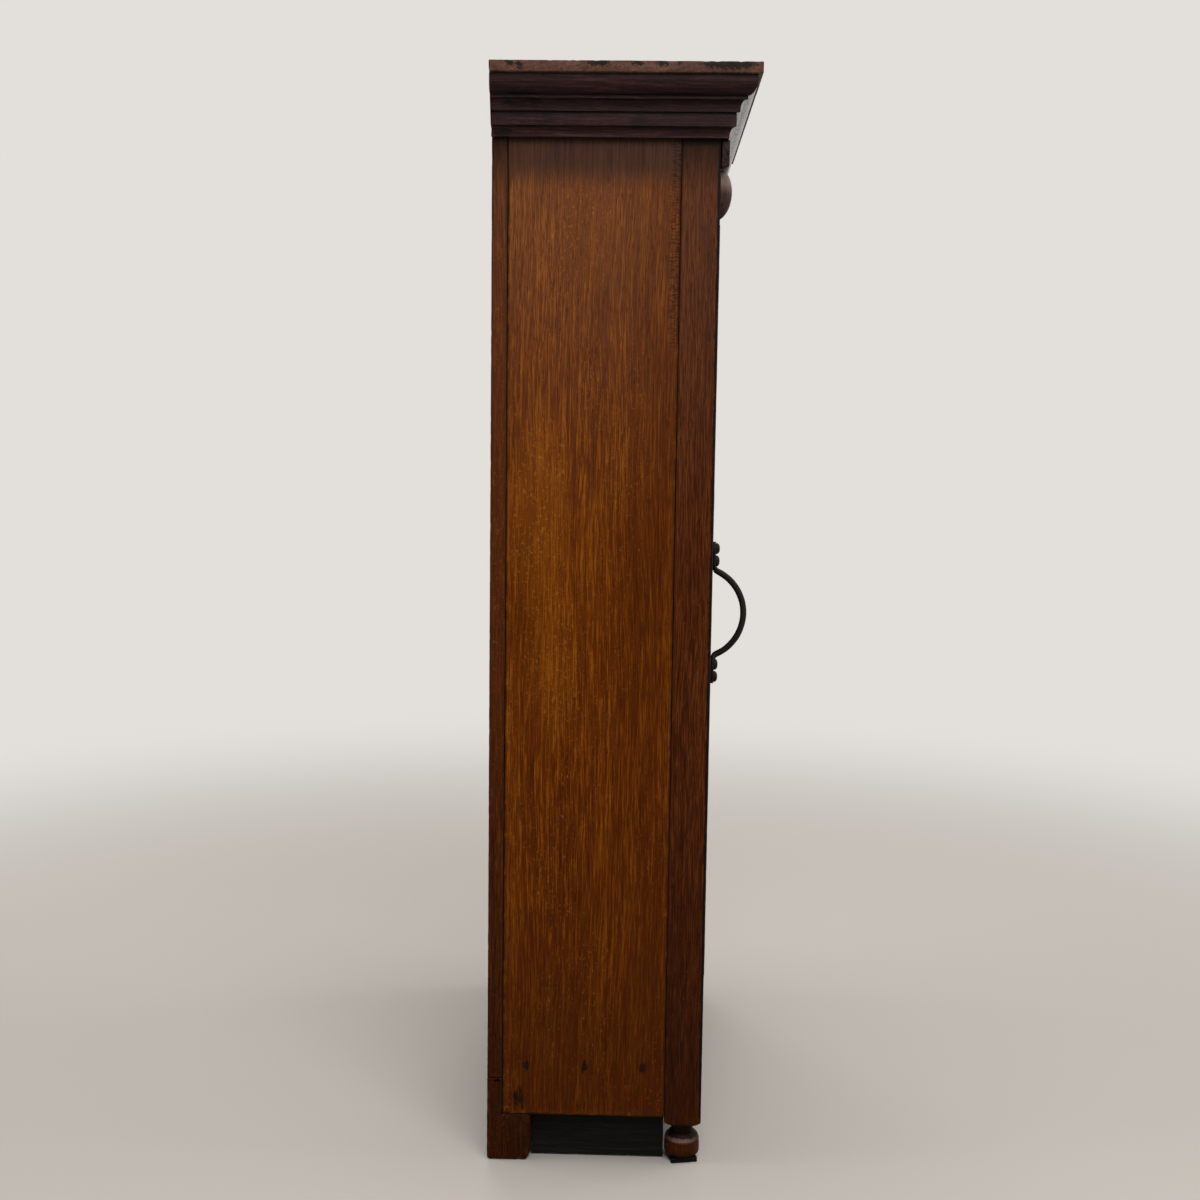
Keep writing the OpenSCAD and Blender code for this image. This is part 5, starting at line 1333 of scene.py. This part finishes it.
# From bow to plate, in millimetres: projection, height over the middle, turn in degrees, half width and depth
BOW_TO_PLATE = ((5.9, 59.3, 58, 5.0, 4.3), (4.7, 60.6, 45, 6.6, 4.2), (4.0, 62.0, 26, 9.0, 3.7),
                (3.2, 64.2, 10, 11.0, 3.0), (2.5, 66.6, 0, 11.8, 2.35))
# Radius and depth of a hinge screw, in millimetres, from the middle of its head to its point
SCREW = ((0.02, 0), (0.5, 0), (1.0, 0), (1.6, 0), (2.2, 0), (2.8, 0), (3.1, 0.02), (3.2, 0.12), (1.6, 1.4),
         (1.5, 14), (0.2, 17.8))


def handle_stations():
    """Stations from the middle of the bow to the end of its upper plate.

    Each gives Y, Z, the turn of the bar from upright, its half width, its half depth and how square it is.
    """
    lo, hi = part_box("door_handle")
    bow_y = lo.y + ROD_R + BOW_R
    plate_half, plate_wide, end_z = PLATE_T / 2, (hi.x - lo.x) / 2, (hi.z - lo.z) / 2
    plate_y = Y_DOOR - plate_half
    stations = [(bow_y - BOW_R * math.cos(a), BOW_R * math.sin(a), a, ROD_R, ROD_R, 2.0)
                for a in np.radians(np.linspace(0, 64, 28))]
    for out, z, turn, wide, deep in BOW_TO_PLATE:
        stations.append((Y_DOOR - out * MM, z * MM, math.radians(turn), wide * MM, deep * MM, 2.6))
    for z in np.arange(70, 88, 3):
        stations.append((plate_y, z * MM, 0.0, plate_wide, plate_half, 5.0))
    for a in np.radians((0, 15, 30, 45, 58, 69, 78, 85)):
        stations.append((plate_y, end_z - plate_wide + plate_wide * math.sin(a), 0.0,
                         plate_wide * math.cos(a), plate_half, 5.0))
    return (lo.x + hi.x) / 2, (lo.z + hi.z) / 2, stations


class CABINET_OT_handle(bpy.types.Operator):
    """Forges the bow handle and its nails"""
    bl_idname = "cabinet.handle"
    bl_label = "Handle"

    def execute(self, context):
        x, mid_z, stations = handle_stations()
        rows = [(y, -z, -a, w, d, p) for y, z, a, w, d, p in stations[:0:-1]] + stations
        angles = np.radians(np.arange(0, 360, 15))
        c, s = np.cos(angles), np.sin(angles)
        co, rubbed = [], []
        for y, z, turn, wide, deep, power in rows:
            reach = (np.abs(c) ** power + np.abs(s) ** power) ** (-1 / power)
            out = deep * reach * s
            co.append(np.stack([
                x + wide * reach * c, y - np.cos(turn) * out, mid_z + z + np.sin(turn) * out], 1))
            rubbed.append(np.full(len(angles), max(0.0, 1 - abs(z) / (60 * MM))))
        co = np.concatenate(co)
        faces, _ = lattice(len(rows), len(angles))
        shape = Shape(co, [f[::-1] for f in faces], co)
        hammer = field(co, (120, 120, 70), "hammer") * 0.35 * MM
        peen = field(co, (300, 300, 240), "peen") * 0.12 * MM
        shape.co = co + outward(shape) * np.minimum(hammer + peen - 0.1 * MM, 0)[:, None]
        shape.marks["wear"] = np.concatenate(rubbed)
        piece(shape, "door_handle_iron", finish_of("scaled_forged_iron"), "door_handle",
              crease=60)
        self.nails(x, mid_z)
        return {"FINISHED"}

    def nails(self, x, mid_z):
        """Forged nails with thick domed heads."""
        lo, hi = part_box("handle_nails")
        outer = (hi.z - lo.z) / 2 - HEAD_R
        dome = [(0.05 * MM, -HEAD_H)] + [
            (HEAD_R * math.sin(a), -HEAD_H + HEAD_H * (1 - math.cos(a)) ** 1.25)
            for a in np.radians(range(8, 91, 8))]
        profile = dome + [(HEAD_R * 0.98, 0.15 * MM), (SHANK_R, 0.3 * MM), (SHANK_R, 17 * MM),
                          (0.2 * MM, 17.5 * MM)]
        nails = [worn(lathe(profile, (mid_z + offset, x, Y_DOOR - PLATE_T), "y", "nail", steps=20),
                      f"handle nail {offset:.3f}", 0.9 * MM, 0)
                 for offset in (-outer, NAIL_PITCH - outer, outer - NAIL_PITCH, outer)]
        piece(joined(nails), "handle_nails_iron", finish_of("scaled_forged_iron"), "handle_nails",
              crease=50)


class CABINET_OT_lock(bpy.types.Operator):
    """Builds the lock case, its bolt, the keyhole plate and the strike plate"""
    bl_idname = "cabinet.lock"
    bl_label = "Lock"

    def execute(self, context):
        for node, ease in (("lock_case", 0.8), ("lock_bolt", 0.5), ("keyhole_plate", 0.3),
                           ("strike_plate", 0.25)):
            eased(node, f"{node}_iron", finish_of("scaled_forged_iron"), ease * MM)
        return {"FINISHED"}


class CABINET_OT_hinges(bpy.types.Operator):
    """Builds the two butt hinges with their pins and screws"""
    bl_idname = "cabinet.hinges"
    bl_label = "Hinges"

    def execute(self, context):
        brass = finish_of("tarnished_brass")
        for node in ("upper_hinge_frame_leaf", "lower_hinge_frame_leaf", "upper_hinge_door_leaf",
                     "lower_hinge_door_leaf"):
            eased(node, f"{node}_brass", brass, 0.2 * MM)
        eased("hinge_pins", "hinge_pins_brass", brass, 0.5 * MM)
        for node, face in (("frame_hinge_screws", 1), ("door_hinge_screws", -1)):
            self.screws(node, face, brass)
        return {"FINISHED"}

    def screws(self, node, face, brass):
        """Slotted countersunk screws whose heads lie in their leaf."""
        lo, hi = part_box(node)
        y = (lo.y + hi.y) / 2
        pitch, head_r, slot_half, slot_d = 25 * MM, 3.2 * MM, 0.42 * MM, 0.8 * MM
        heights = [lo.z + head_r + k * pitch for k in range(3)] + [hi.z - head_r - k * pitch for k in range(3)]
        shapes = []
        for k, z in enumerate(heights):
            shape = lathe([(r * MM, w * MM) for r, w in SCREW], (y, z, 0), "x", "screw", steps=40)
            turn = 0.4 + k * 0.9
            across = (shape.co[:, 1] - y) * math.cos(turn) + (shape.co[:, 2] - z) * math.sin(turn)
            shape.co[:, 0] += np.where((np.abs(across) < slot_half) & (shape.co[:, 0] < 0.1 * MM), slot_d, 0)
            shape = shape if face > 0 else shape.mirrored()
            shape.co[:, 0] += lo.x if face > 0 else hi.x
            shapes.append(shape)
        piece(joined(shapes), f"{node}_brass", brass, node, crease=30)


# Stage

# Radius of the floor, and where it fades into the background, in metres
FLOOR_R, FLOOR_FADE = 9, (0.9, 3.2)
# Each lamp's name, place, share of the power and size in metres
LAMPS = (("lamp_left", (-2.0, -0.5, 2.6), 1.35, 1.6), ("lamp_front", (0.3, -2.3, 2.6), 1.0, 1.8),
         ("lamp_right", (2.2, 0.4, 2.6), 1.0, 1.8), ("lamp_back", (-0.2, 2.4, 2.6), 0.9, 1.8),
         ("lamp_top", (0, 0, 3.4), 0.5, 2.2))
# Height that the lamps at the sides aim at, and their slightly warm light
AIM_Z, LAMP_LIGHT = 0.85, (1, 0.985, 0.96)


def looked_at(tree):
    """1 where the camera, a gloss or the glass looks, and 0 for light."""
    path = add(tree, "LightPath").node.outputs
    seen = add(tree, "Math", {0: path["Is Camera Ray"], 1: path["Is Glossy Ray"]}, operation="MAXIMUM")
    return add(tree, "Math", {0: seen, 1: path["Is Transmission Ray"]}, operation="MAXIMUM")


class CABINET_OT_stage(bpy.types.Operator):
    """Sets the floor, the background, the lamps and the camera"""
    bl_idname = "cabinet.stage"
    bl_label = "Stage"

    def execute(self, context):
        stage = context.scene.cabinet_stage
        self.floor(stage)
        self.world(stage)
        self.lamps(stage)
        self.camera(stage)
        context.scene.view_settings.view_transform = "Standard"
        return {"FINISHED"}

    def floor(self, stage):
        """A wide pale floor that takes the cabinet's shadow and runs out into the background."""
        mesh = bpy.data.meshes.new("studio_floor")
        bm = bmesh.new()
        bmesh.ops.create_circle(bm, cap_ends=True, radius=FLOOR_R, segments=96)
        bm.to_mesh(mesh)
        bm.free()
        floor = bpy.data.objects.new("studio_floor", mesh)
        bpy.context.scene.collection.objects.link(floor)
        floor.location.z = -0.05 * MM
        tree, surface = blank("pale_floor", **{
            "Base Color": stage.floor, "Roughness": 0.9, "Specular IOR Level": 0.0})
        reach = add(tree, "VectorMath", {0: add(tree, "TexCoord", None, "Object")}, "Value", operation="LENGTH")
        fade = add(tree, "MapRange", {"Value": reach, "From Min": FLOOR_FADE[0], "From Max": FLOOR_FADE[1]},
                   interpolation_type="SMOOTHERSTEP")
        fade = add(tree, "Math", {0: fade, 1: looked_at(tree)}, operation="MULTIPLY")
        glow = add(tree, "Emission", {"Color": stage.wall, "Strength": 1.0})
        mixed = add(tree, "MixShader", {0: fade, 1: surface.outputs[0], 2: glow})
        output = next(n for n in tree.nodes if n.type == "OUTPUT_MATERIAL")
        tree.links.new(mixed, output.inputs["Surface"])
        mesh.materials.append(bpy.data.materials["pale_floor"])

    def world(self, stage):
        """Pale wherever the camera, a gloss or the glass looks, and grey where it only lights."""
        world = bpy.data.worlds.new("studio")
        bpy.context.scene.world = world
        world.use_nodes = True
        tree = world.node_tree
        tree.nodes.clear()
        light = add(tree, "Background", {"Color": (1, 1, 1, 1), "Strength": stage.ambient})
        wall = add(tree, "Background", {"Color": stage.wall, "Strength": 1.0})
        mixed = add(tree, "MixShader", {0: looked_at(tree), 1: light, 2: wall})
        add(tree, "OutputWorld", {"Surface": mixed})

    def lamps(self, stage):
        """Large soft lamps high round the cabinet, the one over the camera strongest."""
        for name, place_at, share, size in LAMPS:
            light = bpy.data.lights.new(name, "AREA")
            light.energy, light.size, light.color = stage.lamp_power * share, size, LAMP_LIGHT
            lamp = bpy.data.objects.new(name, light)
            bpy.context.scene.collection.objects.link(lamp)
            lamp.location = place_at
            lamp.visible_camera = False
            aim = Vector((0, 0, 0 if name == "lamp_top" else AIM_Z))
            lamp.rotation_euler = (Vector(place_at) - aim).to_track_quat("Z", "Y").to_euler()

    def camera(self, stage):
        """The photograph's own view of the left side."""
        level = math.cos(stage.pitch)
        forward = Vector((math.cos(stage.yaw) * level, math.sin(stage.yaw) * level, -math.sin(stage.pitch)))
        right = Vector((math.sin(stage.yaw), -math.cos(stage.yaw), 0))
        up = right.cross(forward)
        across = math.cos(stage.roll) * right + math.sin(stage.roll) * up
        above = -math.sin(stage.roll) * right + math.cos(stage.roll) * up
        data = bpy.data.cameras.new("camera")
        data.sensor_width, data.lens = 36, stage.lens
        camera = bpy.data.objects.new("camera", data)
        bpy.context.scene.collection.objects.link(camera)
        turn = Matrix((across, above, -forward)).transposed().to_4x4()
        camera.matrix_world = Matrix.Translation(Vector(stage.camera_place)) @ turn
        bpy.context.scene.camera = camera


PIECES = (CABINET_OT_finishes, CABINET_OT_front_posts, CABINET_OT_rear_feet, CABINET_OT_pads,
          CABINET_OT_side_boards, CABINET_OT_back, CABINET_OT_base_boards, CABINET_OT_inner_boards,
          CABINET_OT_front_rails, CABINET_OT_cornice, CABINET_OT_door_frame, CABINET_OT_panes,
          CABINET_OT_handle, CABINET_OT_lock, CABINET_OT_hinges, CABINET_OT_stage)


class CABINET_PT_panel(bpy.types.Panel):
    """Lists the cabinet's pieces and its settings"""
    bl_idname = "CABINET_PT_panel"
    bl_label = "Cabinet"
    bl_space_type = "VIEW_3D"
    bl_region_type = "UI"
    bl_category = "Cabinet"

    def draw(self, context):
        for step in PIECES:
            self.layout.operator(step.bl_idname)
        for group in (context.scene.cabinet_finish, context.scene.cabinet_wear, context.scene.cabinet_stage):
            box = self.layout.box()
            for key in group.bl_rna.properties.keys():
                if key not in ("rna_type", "name"):
                    box.prop(group, key)


GROUPS = {"cabinet_finish": CabinetFinish, "cabinet_wear": CabinetWear, "cabinet_stage": CabinetStage}


def register():
    for group in (*GROUPS.values(), *PIECES, CABINET_PT_panel):
        bpy.utils.register_class(group)
    for name, group in GROUPS.items():
        setattr(bpy.types.Scene, name, bpy.props.PointerProperty(type=group))


def unregister():
    for name in GROUPS:
        delattr(bpy.types.Scene, name)
    for group in (CABINET_PT_panel, *reversed(PIECES), *reversed(GROUPS.values())):
        bpy.utils.unregister_class(group)


def main():
    """Builds the whole cabinet in order."""
    register()
    for step in PIECES:
        area, name = step.bl_idname.split(".")
        getattr(getattr(bpy.ops, area), name)()


if __name__ == "__main__":
    main()
